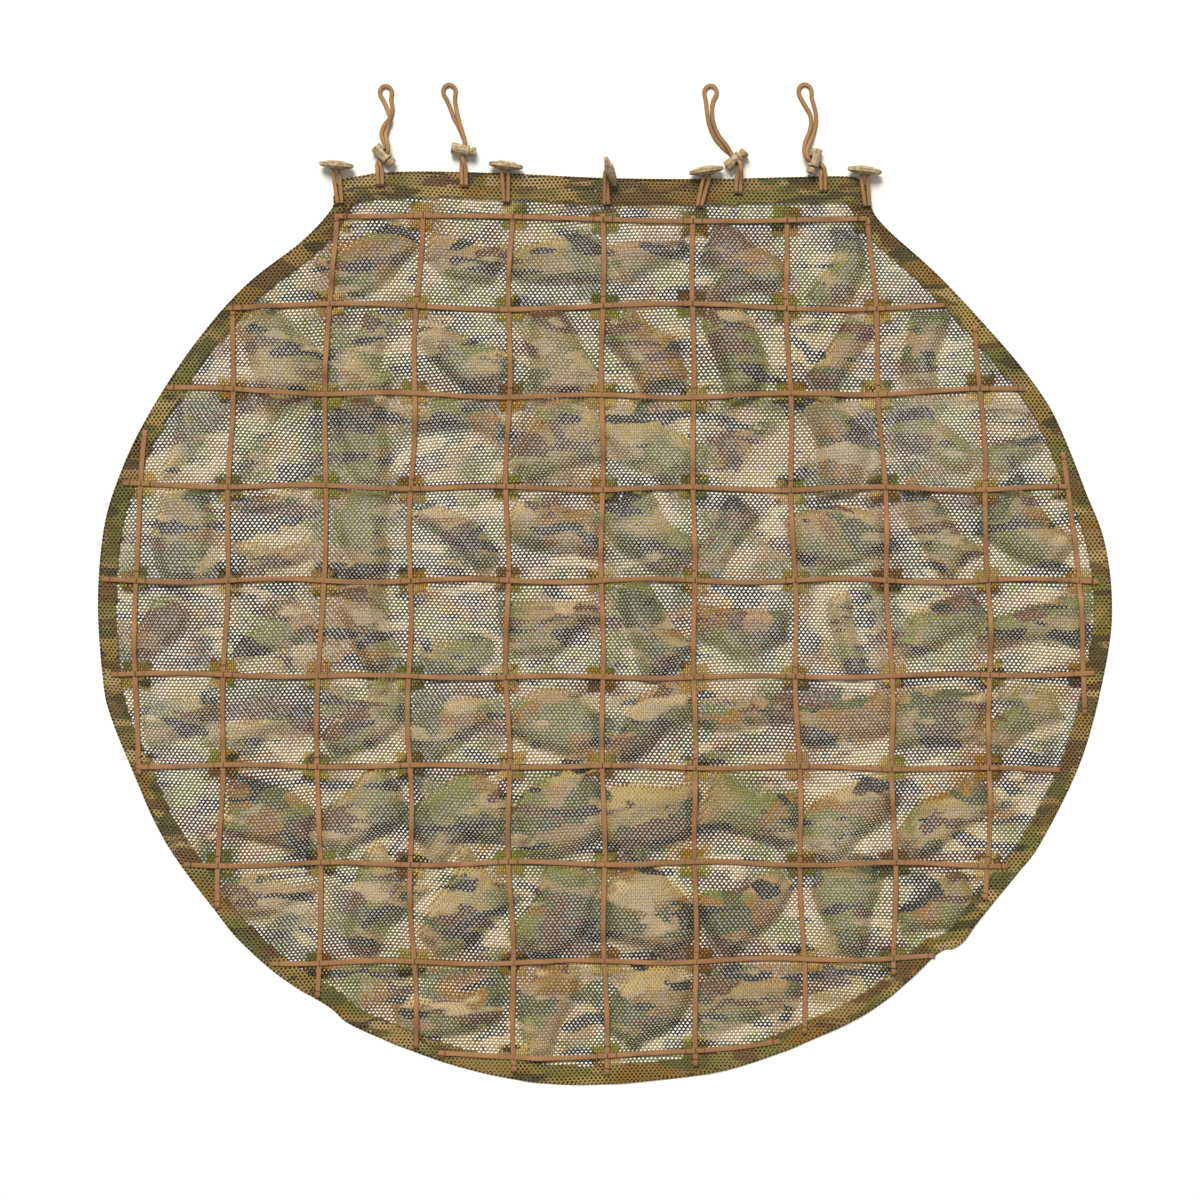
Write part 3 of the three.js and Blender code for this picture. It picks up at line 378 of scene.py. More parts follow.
# The camouflage, from the ground up: how much a blotch is drawn out sideways, where its noise is moved to,
# the noise's scale, detail, roughness and distortion, from where to where it sets in, and its colour.
GROUND = (rgb(204, 172, 98), rgb(168, 138, 64))
BROAD, LONG = 1.6, 2.6
BLOTCHES = {
    "olive": (BROAD, (7, 2, 0), (10, 2.5, 0.5, 0.3), (0.41, 0.53), rgb(130, 126, 46)),
    "ochre": (BROAD, (11, 5, 0), (10, 2.5, 0.5, 0.3), (0.53, 0.61), rgb(160, 110, 26)),
    "pink": (LONG, (3, 1, 0), (9, 2, 0.5), (0.56, 0.64), rgb(184, 144, 84)),
    "deep green": (BROAD, (2, 9, 0), (14, 2.5, 0.5, 0.2), (0.56, 0.62), rgb(88, 90, 32)),
    "brown": (LONG, (5, 14, 0), (13, 2.5, 0.5, 0.4), (0.57, 0.60), rgb(108, 70, 30)),
    "slate": (LONG, (17, 8, 0), (18, 1.5, 0.45, 0.2), (0.615, 0.64), rgb(44, 40, 16)),
    "sand": (LONG, (9, 21, 0), (14, 2, 0.5), (0.62, 0.68), rgb(212, 180, 118)),
}


def woodland(place):
    """Soft blotches drawn out sideways, in generic woodland colours."""
    drawn_out = {share: place.moved(stretch=(1, share, 1)) for share in (BROAD, LONG)}
    colour = drawn_out[BROAD].noise(7, 2, 0.5).step(0.40, 0.60).between(*GROUND)
    for share, shift, noise, edge, paint in BLOTCHES.values():
        colour = drawn_out[share].moved(shift=shift).noise(*noise).step(*edge).between(colour, paint)
    return colour


def raised(wire, shader, height, strength, distance):
    """Low relief from a height between 0 and about 1."""
    sockets = {"Strength": strength, "Distance": distance, "Height": height}
    to_shader(wire.add("ShaderNodeBump", None, sockets), shader, "Normal")


YARN_ROUND = 0.65           # how far from its hole a yarn rises, and over which its painted rim shade fades out
RIM_SHARE = 0.94            # of a hole's half width, where its yarn begins


def mesh_finish(name, shift, shade=1.0, faded=0.0):
    """Knitted mesh: each yarn is rounded in its bump, and has painted shade where it turns down into a hole.
    The weave map counts the holes of a row and the rows, and the opening map says how large they are."""
    material, wire, shader = cloth_finish(name)
    place = wire.own_place().moved(shift=shift)
    colour = woodland(place)
    if faded:
        mixed = {0: faded, 6: colour, 7: rgb(150, 130, 88)}
        colour = wire.add("ShaderNodeMix", {"data_type": "RGBA"}, mixed, out=2)
    column, row = wire.uv("weave")
    distances = []
    for half in (0.5, 0.0):
        off_x = (wire.reckon("FRACT", column + (half + 64)) - 0.5) * PITCH
        off_y = (wire.reckon("FRACT", row * 0.5 + (half + 64)) - 0.5) * (2 * ROW)
        distances.append(off_x * off_x + off_y * off_y)
    from_hole = wire.reckon("SQRT", wire.reckon("MINIMUM", *distances))
    rim = wire.uv("opening")[0] * (PITCH / 2 * RIM_SHARE)
    # painted shade: the yarn's colour is darkened towards each hole's rim, where the real yarn turns down
    # into shade; the same rise feeds the bump
    rounded = from_hole.step(rim, rim + YARN_ROUND)
    yarn = place.noise(1400, 2, 0.6)
    tone_with_rim_shade = (rounded * 0.9 + 0.16) * (yarn * 0.3 + 0.6 * shade)
    to_shader(colour.darkened(tone_with_rim_shade), shader, "Base Color")
    raised(wire, shader, rounded + yarn * 0.25, 0.6, 0.0004)
    return material


def woven_finish(name, colour, dark, across_wide, rib, herringbone):
    """Flat woven tape or braid: ribs that follow its own length, and painted shade at its two edges."""
    material, wire, shader = cloth_finish(name, 0.8)
    along, across = wire.uv("weave")
    aside = wire.reckon("ABSOLUTE", across)
    ribs = wire.reckon("SINE", (along + aside * herringbone) * (2 * math.pi / rib)) * 0.5 + 0.5
    place = wire.own_place()
    speckle, patches = place.noise(900, 3, 0.65), place.noise(30, 2, 0.5)
    # painted shade: the colour darkens towards both edges, where the tape or braid rolls down
    rim = aside.step(across_wide * 0.30, across_wide * 0.5)
    light = ribs * 0.2 + speckle * 0.5 + patches * 0.35 - rim * 0.28
    to_shader(light.step(0.05, 0.85).between(dark, colour), shader, "Base Color")
    raised(wire, shader, ribs * 0.7 + speckle * 0.5, 0.5, 0.0003)
    return material


def thread_finish():
    """Dull brown sewing thread."""
    material, wire, shader = cloth_finish("brown thread", 0.7)
    grain = wire.own_place().noise(1600, 2, 0.6)
    to_shader(grain.step(0.3, 0.7).between(rgb(62, 42, 28), rgb(98, 70, 46)), shader, "Base Color")
    return material


def plastic_finish():
    """Moulded khaki plastic, slightly mottled, with a fine grain."""
    material, wire, shader = cloth_finish("khaki plastic", 0.5)
    shader.inputs["Specular IOR Level"].default_value = 0.4
    place = wire.own_place()
    mottle = place.noise(260, 3, 0.6)
    to_shader(mottle.step(0.3, 0.75).between(rgb(138, 119, 88), rgb(196, 172, 132)), shader, "Base Color")
    to_shader(mottle * 0.2 + 0.42, shader, "Roughness")
    raised(wire, shader, place.noise(2600, 2, 0.6), 0.25, 0.0002)
    return material


sheet_cloth = mesh_finish("knitted mesh", (0, 0, 0))
hem_cloth = mesh_finish("hem mesh", (1.6, 0.6, 0), 0.96, 0.33)
patch_cloth = mesh_finish("patch mesh", (0.006, 0.004, 0), 1.85, 0.4)
band_cloth = mesh_finish("seam mesh", (4.4, 2.6, 0), 0.95, 0.4)
tape_weave = woven_finish("tan tape", rgb(170, 124, 82), rgb(100, 70, 44), TAPE_WIDE * MM, 0.0016, 0.4)
cord_weave = woven_finish("tan braid", rgb(182, 138, 92), rgb(112, 82, 52), CORD_WIDE * MM, 0.0018, 1.0)
thread = thread_finish()
plastic = plastic_finish()

# ---------------- cords


def distance_along(line):
    """How far each point of a line is from its start."""
    return np.concatenate([[0], np.cumsum(np.linalg.norm(np.diff(line, axis=0), axis=1))])


def through(stations, step=0.8):
    """A smooth line through the stations, each a point and a sideways direction: points, sides."""
    points = np.array([point for point, _ in stations], float)
    sides = np.array([side for _, side in stations], float)
    padded = np.vstack([2 * points[0] - points[1], points, 2 * points[-1] - points[-2]])
    spans = np.maximum(np.linalg.norm(np.diff(padded, axis=0), axis=1), 0.01)
    knots = np.concatenate([[0], np.cumsum(spans**0.5)])
    line, turns = [], []
    for i in range(1, len(padded) - 2):
        p, t = padded[i - 1 : i + 3], knots[i - 1 : i + 3]
        count = max(2, round(np.linalg.norm(p[2] - p[1]) / step))
        for share in np.arange(count) / count:
            s = t[1] + share * (t[2] - t[1])
            a = [((t[k + 1] - s) * p[k] + (s - t[k]) * p[k + 1]) / (t[k + 1] - t[k]) for k in range(3)]
            b = [((t[k + 2] - s) * a[k] + (s - t[k]) * a[k + 1]) / (t[k + 2] - t[k]) for k in range(2)]
            line.append(((t[2] - s) * b[0] + (s - t[1]) * b[1]) / (t[2] - t[1]))
            blend = share * share * (3 - 2 * share)
            turns.append((1 - blend) * sides[i - 1] + blend * sides[i])
    line.append(points[-1])
    turns.append(sides[-1])
    return np.array(line), np.array(turns)


def flat_strip(line, sides, section):
    """A strip whose section is (across, up) corners, in order round it: its points, its quads and caps,
    the weave map, and how far along and round it each point is."""
    ahead = np.gradient(line, axis=0)
    ahead /= np.linalg.norm(ahead, axis=1, keepdims=True)
    across = sides - (sides * ahead).sum(1, keepdims=True) * ahead
    across /= np.maximum(np.linalg.norm(across, axis=1, keepdims=True), 1e-9)
    up = np.cross(across, ahead)
    count, round_it = len(line), section.shape[-2]
    section = np.broadcast_to(section, (count, round_it, 2))
    points = line[:, None] + across[:, None] * section[..., :1] + up[:, None] * section[..., 1:]
    at = np.arange(count * round_it).reshape(count, round_it)
    turned = np.roll(at, -1, axis=1)
    quads = np.stack([at[:-1], turned[:-1], turned[1:], at[1:]], -1).reshape(-1, 4)
    gone = distance_along(line)
    along = np.stack([np.repeat(gone * MM, round_it), (section[..., 0] * MM).reshape(-1)], -1)
    share = np.tile(np.arange(round_it) / round_it, count)
    spot = np.stack([np.repeat(gone, round_it), share], -1)
    points = points.reshape(-1, 3)
    return points, facing_out(points, [quads, at[:1, ::-1], at[-1:]]), along, spot


def facing_out(points, polygons):
    """The quads and caps of a strip, turned round if its volume shows that they face inwards."""
    a, b, c, d = (points[polygons[0][:, k]] for k in range(4))
    volume = (a * np.cross(b, c)).sum() + (a * np.cross(c, d)).sum()
    return polygons if volume > 0 else [group[:, ::-1] for group in polygons]


def cord_section(length):
    """The braid's section at each station, with the small ribs of its strands."""
    turn = np.arange(14) * 2 * math.pi / 14
    ribs = 0.05 * np.sin(2 * math.pi * length[:, None] / 1.8 + 1.6 * np.abs(np.cos(turn))[None])
    wide = CORD_HALF * np.sign(np.cos(turn)) * np.abs(np.cos(turn)) ** 0.8
    tall = (CORD_THICK / 2) * np.sign(np.sin(turn)) * np.abs(np.sin(turn)) ** 0.75
    waist = 1 - 0.16 * (np.abs(np.cos(turn)) < 0.3)
    return np.stack([wide[None] * (1 + ribs * 0.4), (tall * waist)[None] * (1 + ribs)], -1)


def cord_piece(name, stations):
    """A braided cord, with its middle line and its length."""
    line, sides = through(stations)
    gone = distance_along(line)
    points, polygons, along, spot = flat_strip(line, sides, cord_section(gone))
    spot[:, 0] /= gone[-1]
    made = mesh_piece(name, points, polygons, cord_weave, flat_map=0.02 + 0.96 * spot, weave=along)
    return made, line, gone[-1]


def turned_place(x, y, z, *degrees):
    """The place and turn of a hard piece, with its turns about X, Y and Z."""
    turn = Euler([math.radians(angle) for angle in degrees], "XYZ")
    return Matrix.Translation((x, y, z)) @ turn.to_matrix().to_4x4()


def toggle_matrix(toggle):
    return turned_place(toggle.x, toggle.y, toggle.z, toggle.roll, toggle.tip, toggle.swing)


def lock_matrix(draw):
    return turned_place(draw.x, draw.y, LOCK_HEIGHT, draw.roll, 0, draw.aim)


def twisted(first, second, degrees):
    """The direction this far round from the first towards the second."""
    return first * math.cos(math.radians(degrees)) + second * math.sin(math.radians(degrees))


def loop_strand(toggle, side):
    """One strand of a toggle's loop, from its foot on the hem through the slot: points and sides."""
    matrix = toggle_matrix(toggle)
    on_edge = matrix.to_3x3() @ Vector((0, 0, 1))
    aside = Vector((-side, 0, 0))
    foot = Vector((toggle.foot_x + side * CORD_PITCH / 2, toggle.foot_y, FOOT_HEIGHT))
    entry = matrix @ Vector((side * LOOP_ENTRY[0], LOOP_ENTRY[1], 0))
    stations = [(foot.lerp(entry, share), twisted(aside, on_edge, turn)) for share, turn in LOOP_LEAD]
    return stations + [(matrix @ Vector((side * x, y, 0)), on_edge) for x, y in LOOP_TURN]


toggle_loops = []
for number, toggle in enumerate(TOGGLES, 1):
    left, right = loop_strand(toggle, -1), loop_strand(toggle, 1)[::-1]
    top = (toggle_matrix(toggle) @ Vector((0, LOOP_TOP, 0)), left[3][1])
    toggle_loops.append(cord_piece(f"loop_braid_{number}", [*left, top, *right]))
    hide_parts(f"toggle_loop_{number}")


def draw_stations(draw):
    """A draw cord from hem to hem: one strand, the turn of its far loop, and the other strand."""
    rows = list(draw.lead)
    for step in (-1, 0, 1):
        place = lock_matrix(draw) @ Vector((0, step * draw.way * IN_LOCK["reach"], 0))
        rows.append((*place, IN_LOCK["apart"], IN_LOCK["twist"]))
    rows += draw.tail
    middles = [Vector(station[:3]) for station in rows]
    outwards = math.copysign(1, math.cos(math.radians(rows[-1][4])))

    def strand(hand):
        stations = []
        for i, (*_, apart, twist) in enumerate(rows):
            ahead = (middles[min(i + 1, len(rows) - 1)] - middles[max(i - 1, 0)]).normalized()
            lateral = ahead.cross(Vector((0, 0, 1))).normalized()
            away = twisted(lateral, lateral.cross(ahead), twist)
            stations.append((middles[i] + away * (hand * apart / 2), lateral * (hand * outwards)))
        return stations

    first, second = strand(1), strand(-1)
    start, finish = first[-1], second[-1]
    centre = (start[0] + finish[0]) / 2
    radius = start[0] - centre
    onward = middles[-1] - middles[-2]
    onward.z = 0
    onward = onward.normalized() * radius.length
    end = []
    for i in range(1, LOOP_END_STEPS):
        turn = i * math.pi / LOOP_END_STEPS
        point = centre + radius * math.cos(turn) + onward * math.sin(turn) * LOOP_END_STRETCH
        end.append((point, start[1] * math.cos(turn) + onward.normalized() * math.sin(turn)))
    return [*first, *end, *second[::-1]]


draw_cords = []
for draw in DRAWS:
    draw_cords.append(cord_piece(f"draw_braid_{draw.name}", draw_stations(draw)))
    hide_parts(f"draw_cord_{draw.name}")

# ---------------- how the sheet lies

LEFT, RIGHT, LOW, HIGH, CELL = -524.0, 524.0, -520.0, 428.0, 2.0
LAY_CELL, LAY_SPAN = 4.0, 0.96      # the grid that the cloth is laid out on, and its span at rest
LAY_TURNS, LAY_LOOKS, LAY_PULL = 90, 9, 0.22    # steps, how often the heights are read again, and speed
FAR_OFF = 99.0
YARN_LIFT = 0.35            # the yarn's middle over the floor
LOW_FOLDS_FROM = -180       # the folds are broader below this
FLANK, RIDGE_FADE = 12, 16  # how far a fold takes to rise at its side, and its ridge to stand out
RIPPLE_HIGH, RIPPLE_LONG, BULGE_HIGH, BULGE_LONG, KNOT_HIGH = 1.3, 34, 0.9, 55, 0.7
SMOOTHINGS = 3
ground_x, ground_y = np.meshgrid(np.arange(LEFT, RIGHT + CELL, CELL), np.arange(LOW, HIGH + CELL, CELL))


def sampled(field, x, y, cell=CELL):
    """The value at these places of a field on the ground grid, or on another grid with the same corner."""
    u = np.clip((np.asarray(x) - LEFT) / cell, 0, field.shape[1] - 1.001)
    v = np.clip((np.asarray(y) - LOW) / cell, 0, field.shape[0] - 1.001)
    i, j = u.astype(int), v.astype(int)
    s, t = u - i, v - j
    low = field[j, i] * (1 - s) + field[j, i + 1] * s
    high = field[j + 1, i] * (1 - s) + field[j + 1, i + 1] * s
    return low * (1 - t) + high * t


def tape_line(tape, t):
    """How far to the side a tape lies at this place along it."""
    s = np.asarray(t, float) / 100
    bow = tape.bow * np.sin(np.asarray(t) / tape.wave + tape.phase)
    return tape.middle + tape.lean * s + tape.curve * s * s + bow


Crossing = namedtuple("Crossing", "x y upright crossway")


def crossings():
    """Every place where a crossways tape lies over an upright one, with the numbers of the two."""
    found = []
    for i, upright in enumerate(UPRIGHTS):
        for j, crossway in enumerate(CROSSWAYS):
            x = float(upright.middle)
            for _ in range(6):
                x = float(tape_line(upright, tape_line(crossway, x)))
            y = float(tape_line(crossway, x))
            if upright.start - 6 < y < upright.end + 6 and crossway.start - 10 < x < crossway.end + 10:
                found.append(Crossing(x, y, i, j))
    return found


def closed_line(points, steps):
    """A smooth closed line through the points, with this many steps between two of them."""
    points = np.array(points, float)
    before, after, last = np.roll(points, 1, 0), np.roll(points, -1, 0), np.roll(points, -2, 0)
    t = (np.arange(steps) / steps)[None, :, None]
    p0, p1, p2, p3 = (p[:, None] for p in (before, points, after, last))
    squared, cubed = (2 * p0 - 5 * p1 + 4 * p2 - p3) * t**2, (3 * p1 - p0 - 3 * p2 + p3) * t**3
    return (0.5 * (2 * p1 + (p2 - p0) * t + squared + cubed)).reshape(-1, 2)


edge_line = closed_line(EDGE, 6)


def inward(line, distance):
    """The line drawn towards the middle of the drape."""
    to_middle = np.array(MIDDLE) - line
    to_middle /= np.linalg.norm(to_middle, axis=1, keepdims=True)
    return line + to_middle * np.asarray(distance)[..., None]


def hem_inside(line, along_top, elsewhere):
    """The edge drawn inwards by one distance along the top, and by another elsewhere."""
    return inward(line, np.where(line[:, 1] > TOP_FROM, along_top, elsewhere))


def gap_to_line(x, y, line):
    """How far each place is inside a closed line, and below 0 outside it."""
    nearest, inside = np.full(np.shape(x), np.inf), np.zeros(np.shape(x), bool)
    for (ax, ay), (bx, by) in zip(line, np.roll(line, -1, 0)):
        dx, dy = bx - ax, by - ay
        share = np.clip(((x - ax) * dx + (y - ay) * dy) / max(dx * dx + dy * dy, 1e-9), 0, 1)
        nearest = np.minimum(nearest, (x - ax - share * dx) ** 2 + (y - ay - share * dy) ** 2)
        if ay != by:
            inside ^= ((ay > y) != (by > y)) & (x < dx * (y - ay) / dy + ax)
    return np.sqrt(nearest) * np.where(inside, 1, -1)


def gap_to_tapes(x, y):
    """How far each place is from the middle of the nearest tape."""
    gap = np.full(np.shape(x), FAR_OFF)
    for tapes, across, run in ((UPRIGHTS, x, y), (CROSSWAYS, y, x)):
        for tape in tapes:
            beyond = np.maximum(0, np.maximum(tape.start - run, run - tape.end))
            gap = np.minimum(gap, np.hypot(across - tape_line(tape, run), beyond))
    return gap


def gap_to_knots(x, y):
    """How far each place is from the nearest crossing, in half sizes of the cloth that it gathers."""
    gap = np.full(np.shape(x), FAR_OFF)
    for knot in places:
        gap = np.minimum(gap, np.maximum(np.abs(x - knot.x) / 15, np.abs(y - knot.y) / 14))
    return gap


def wandering(x, y, reach, size, seed):
    """Places moved about by smooth random waves, so that straight forms drawn at them wander."""
    return x + reach * waves(x, y, size, seed), y + reach * waves(x, y, size, seed + 1)


def stands(x, y):
    """How far the sheet stands up from the floor in its folds, before the tapes hold it down. A fold is a
    long wedge with straight sides, a short flank all round, and a ridge along its back."""
    wx, wy = wandering(x, y, 5, 75, 11)
    dice = np.random.default_rng(13)
    height = np.zeros_like(x)
    for fx, fy, turn, long, wide, high in FOLDS:
        lean, bent, ridge = dice.uniform(-0.55, 0.55), dice.uniform(-0.3, 0.3), dice.uniform(-0.45, 0.45)
        c, s = math.cos(math.radians(turn)), math.sin(math.radians(turn))
        along, across = (wx - fx) * c + (wy - fy) * s, (wy - fy) * c - (wx - fx) * s
        across = across + bent * along * along / long
        broad = 1.5 if fy < LOW_FOLDS_FROM else 1.25
        half = np.maximum(broad * wide * (1 + lean * along / long), 2)
        inner = np.minimum(half - np.abs(across), 0.85 * long - np.abs(along))
        flank = smooth_step(inner, 0, FLANK)
        crest = np.clip(1 - np.abs(across / half - ridge) / (1 + abs(ridge)), 0, 1)
        crest *= np.clip(inner / RIDGE_FADE, 0, 1)
        height = np.maximum(height, high * (0.62 * flank + 0.85 * crest))
    return height


def creased(x, y):
    """The height of the creases: sharp ridges that fade at both ends."""
    height = np.zeros_like(x)
    wx, wy = wandering(x, y, 5, 90, 21)
    for ax, ay, bx, by, high, wide in CREASES:
        dx, dy = bx - ax, by - ay
        share = ((wx - ax) * dx + (wy - ay) * dy) / (dx * dx + dy * dy)
        off = np.abs((wy - ay) * dx - (wx - ax) * dy) / math.hypot(dx, dy)
        fade = smooth_step(share, -0.04, 0.06) * (1 - smooth_step(share, 0.94, 1.04))
        height = np.maximum(height, high * fade * np.exp(-off / wide))
    return height


places = crossings()
tape_gap = gap_to_tapes(ground_x, ground_y)
edge_gap = gap_to_line(ground_x, ground_y, edge_line)
knot_gap = gap_to_knots(ground_x, ground_y)


def lying_height(x, y):
    """The height of the yarn over the floor. Tapes, crossings and the hem hold the folds down, and small
    ripples and creases come on top."""
    hem = np.where(y > TOP_HEM_FROM, TOP_HEM_WIDE, HEM_WIDE)
    by_tapes = 0.5 + 0.5 * smooth_step(tape_gap, 2.5, 10)
    by_knots = 0.15 + 0.85 * smooth_step(knot_gap, 0.8, 1.9)
    by_hem = smooth_step(edge_gap - hem, -8, 10)
    folds = stands(x, y)
    ripples = RIPPLE_HIGH * np.abs(waves(x, y, RIPPLE_LONG, 31)) * smooth_step(folds, 0.5, 5)
    bulges = BULGE_HIGH * np.clip(waves(x, y, BULGE_LONG, 41) - 0.15, 0, 1)
    high = YARN_LIFT + (folds + ripples) * (by_tapes * by_knots * by_hem)
    high += bulges * smooth_step(tape_gap, 1, 10)
    high += creased(x, y) * smooth_step(tape_gap, 1.5, 9) * smooth_step(edge_gap, 0, 30)
    high += KNOT_HIGH * (1 - smooth_step(knot_gap, 0.9, 1.15))
    for _ in range(SMOOTHINGS):
        inner, above, below = high[1:-1, 1:-1], high[:-2, 1:-1], high[2:, 1:-1]
        high[1:-1, 1:-1] = (inner * 4 + above + below + high[1:-1, :-2] + high[1:-1, 2:]) / 8
    return high


height = lying_height(ground_x, ground_y)


def laid_out():
    """Where each place of the flat cut comes to lie. On the slopes of a fold the cloth takes less room
    seen from above, and the flat parts beside it give way, while tapes and hem stay where they are."""
    a, b = np.meshgrid(np.arange(LEFT, RIGHT + 1, LAY_CELL), np.arange(LOW, HIGH + 1, LAY_CELL))
    free = (sampled(tape_gap, a, b) > 4) & (sampled(edge_gap, a, b) > 24)
    x, y = a.copy(), b.copy()
    for turn in range(LAY_TURNS):
        if turn % LAY_LOOKS == 0:
            z = sampled(height, x, y)
        pull_x, pull_y = np.zeros_like(x), np.zeros_like(y)
        for now, then in ((np.s_[:, :-1], np.s_[:, 1:]), (np.s_[:-1], np.s_[1:])):
            dx, dy, dz = x[then] - x[now], y[then] - y[now], z[then] - z[now]
            long = np.sqrt(dx * dx + dy * dy + dz * dz)
            tight = (long - LAY_SPAN * LAY_CELL) / long
            pull_x[now] += dx * tight
            pull_y[now] += dy * tight
            pull_x[then] -= dx * tight
            pull_y[then] -= dy * tight
        x += np.where(free, pull_x * LAY_PULL, 0)
        y += np.where(free, pull_y * LAY_PULL, 0)
    return x, y


lay_x, lay_y = laid_out()


def lie(a, b):
    """Where places of the flat cut lie, seen from above."""
    return [sampled(field, a, b, LAY_CELL) for field in (lay_x, lay_y)]


# ---------------- the knitted mesh

# A full cell round a hole: its points at the top and foot, and its corners at the two sides.
CELL_TIP, CELL_HALF, CELL_CORNER = 2.2225, PITCH / 2, 0.7275
RING = np.array([
    (0, CELL_TIP), (CELL_HALF, CELL_CORNER), (CELL_HALF, -CELL_CORNER),
    (0, -CELL_TIP), (-CELL_HALF, -CELL_CORNER), (-CELL_HALF, CELL_CORNER),
])
ROWS, COLUMNS = np.arange(-178, 148), np.arange(-127, 128)
LEAST_INSIDE = 0.2          # holes nearer the cut edge than this are left out

inward_y, inward_x = np.gradient(edge_gap, CELL)
slope_y, slope_x = np.gradient(height, CELL)
steep = np.hypot(slope_x, slope_y)


def kept_inside(x, y, least=0.5):
    """Places that stand out beyond the cut edge are drawn back to it."""
    short = np.maximum(least - sampled(edge_gap, x, y), 0)
    return x + sampled(inward_x, x, y) * short, y + sampled(inward_y, x, y) * short


def knit(keep, opening, lift=0.0, phase=(0.0, 0.0), seed=5):
    """Points of the yarn round each hole that keep(a, b) allows, and the faces between them. Each hole
    is a six-sided opening this many times as large as its cell. Opening and lift are a number or a
    function of the place."""
    j, i = np.meshgrid(ROWS, COLUMNS, indexing="ij")
    column = i + 0.5 * (j % 2)
    a, b = wandering(PITCH * column + phase[0], ROW * j + phase[1], 3.0, 260, 51)
    mask = keep(a, b)
    number = np.full(mask.shape, -1)
    number[mask] = np.arange(mask.sum())
    dice = np.random.default_rng(seed)
    share = opening(a[mask], b[mask]) if callable(opening) else opening
    size = share * dice.uniform(0.94, 1.06, mask.sum())
    shift = dice.normal(0, 0.07, (mask.sum(), 1, 2))
    ring = RING[None] * size[:, None, None] + shift
    flat = np.stack([a[mask], b[mask]], -1)[:, None] + ring
    weave = np.stack([column[mask], j[mask]], -1)[:, None] + ring / (PITCH, ROW)
    x, y = kept_inside(*lie(flat[..., 0], flat[..., 1]))
    z = sampled(height, x, y) + (lift(x, y) if callable(lift) else lift)
    points = np.stack([x, y, z], -1).reshape(-1, 3)

    def neighbour(down, right_even, right_odd):
        """The number of each hole's neighbour, or -1."""
        out = np.full(number.shape, -1)
        jj, ii = j - ROWS[0] + down, i - COLUMNS[0] + np.where(j % 2 == 0, right_even, right_odd)
        fits = (jj >= 0) & (jj < len(ROWS)) & (ii >= 0) & (ii < len(COLUMNS))
        out[fits] = number[jj[fits], ii[fits]]
        return out[mask]

    own = np.arange(mask.sum())
    right = neighbour(0, 1, 1)
    up_right, up_left = neighbour(1, 0, 1), neighbour(1, -1, 0)
    low_right, low_left = neighbour(-1, 0, 1), neighbour(-1, -1, 0)

    def faces(needed, *corners):
        there = np.all([group >= 0 for group in needed], axis=0)
        return np.stack([who[there] * 6 + corner for who, corner in corners], -1), own[there]

    groups = [
        faces([up_right, up_left], (own, 0), (up_right, 4), (up_left, 2)),
        faces([low_left, low_right], (own, 3), (low_left, 1), (low_right, 5)),
        faces([right], (own, 2), (right, 4), (right, 5), (own, 1)),
        faces([up_right], (own, 1), (up_right, 3), (up_right, 4), (own, 0)),
        faces([up_left], (own, 0), (up_left, 2), (up_left, 3), (own, 5)),
    ]
    opened = np.stack([np.repeat(size, 6), np.zeros(6 * len(size))], -1)
    return points, weave.reshape(-1, 2), opened, groups, np.stack([a[mask], b[mask]], -1)


def knitted_piece(name, knitting, finish, chosen=None):
    """A piece of the mesh from the faces that belong to the chosen holes, with their points alone."""
    points, weave, opened, groups, holes = knitting
    chosen = np.ones(len(holes), bool) if chosen is None else chosen
    kept = [faces[chosen[owner]] for faces, owner in groups]
    used = np.unique(np.concatenate([faces.ravel() for faces in kept]))
    new = np.full(len(points), -1)
    new[used] = np.arange(len(used))
    threes = np.concatenate([new[faces] for faces in kept if faces.shape[1] == 3])
    fours = np.concatenate([new[faces] for faces in kept if faces.shape[1] == 4])
    points = points[used]
    return mesh_piece(name, points, [threes, fours], finish, flat_map=seen_from_above(points),
                      weave=weave[used], opening=opened[used])


def sheet_opening(a, b):
    """The holes close up a little where the mesh is slack, on the folds."""
    raised_up = smooth_step(sampled(height, a, b), 1.0, 6)
    on_slopes = smooth_step(sampled(steep, a, b), 0.15, 0.8)
    return SHEET_OPEN * (1 - 0.03 * raised_up - 0.14 * on_slopes - 0.06 * smooth_step(-b, 60, 320))


def on_sheet(a, b):
    return sampled(edge_gap, a, b) > LEAST_INSIDE


sheet_knit = knit(on_sheet, sheet_opening)
holes = sheet_knit[-1]
on_left, far = holes[:, 0] < 0, holes[:, 1] >= -40
quarters = {
    "far_left": far & on_left, "far_right": far & ~on_left,
    "near_left": ~far & on_left, "near_right": ~far & ~on_left,
}
yarn_share = 1 - (SHEET_OPEN - 0.03) ** 2
sheet_pieces = []
for name, chosen in quarters.items():
    made = knitted_piece(f"mesh_{name}", sheet_knit, sheet_cloth, chosen)
    yarn_area = chosen.sum() * PITCH * ROW * MM * MM * yarn_share
    size = np.ptp(holes[chosen], axis=0) * MM
    sheet_pieces.append((made, size, yarn_area))

top_edge = np.array([EDGE[-1], *EDGE[:10], (262, 390)])


def below_top(a, b):
    """How far below the top edge a place is."""
    return np.interp(a, *top_edge.T) - b


# The hem is the mesh folded over, so a second layer lies on the first. Right at the top its holes lie
# over those of the first layer. Below, the raw edge is turned under once more, in a narrow band of three
# layers.
hem_gap = gap_to_line(ground_x, ground_y, hem_inside(edge_line, TOP_HEM_WIDE, HEM_WIDE))


def on_hem(a, b):
    return on_sheet(a, b) & (sampled(hem_gap, a, b) < 0) & (below_top(a, b) > 13)


def on_top_hem(a, b):
    return on_sheet(a, b) & (below_top(a, b) < 15)


def on_band(a, b):
    return (np.abs(below_top(a, b) - 19.5) < 7.2) & (np.abs(a + 2) < 262)


def hem_lift(x, y):
    return 0.55 + 0.35 * smooth_step(-sampled(hem_gap, x, y), 0, 4)


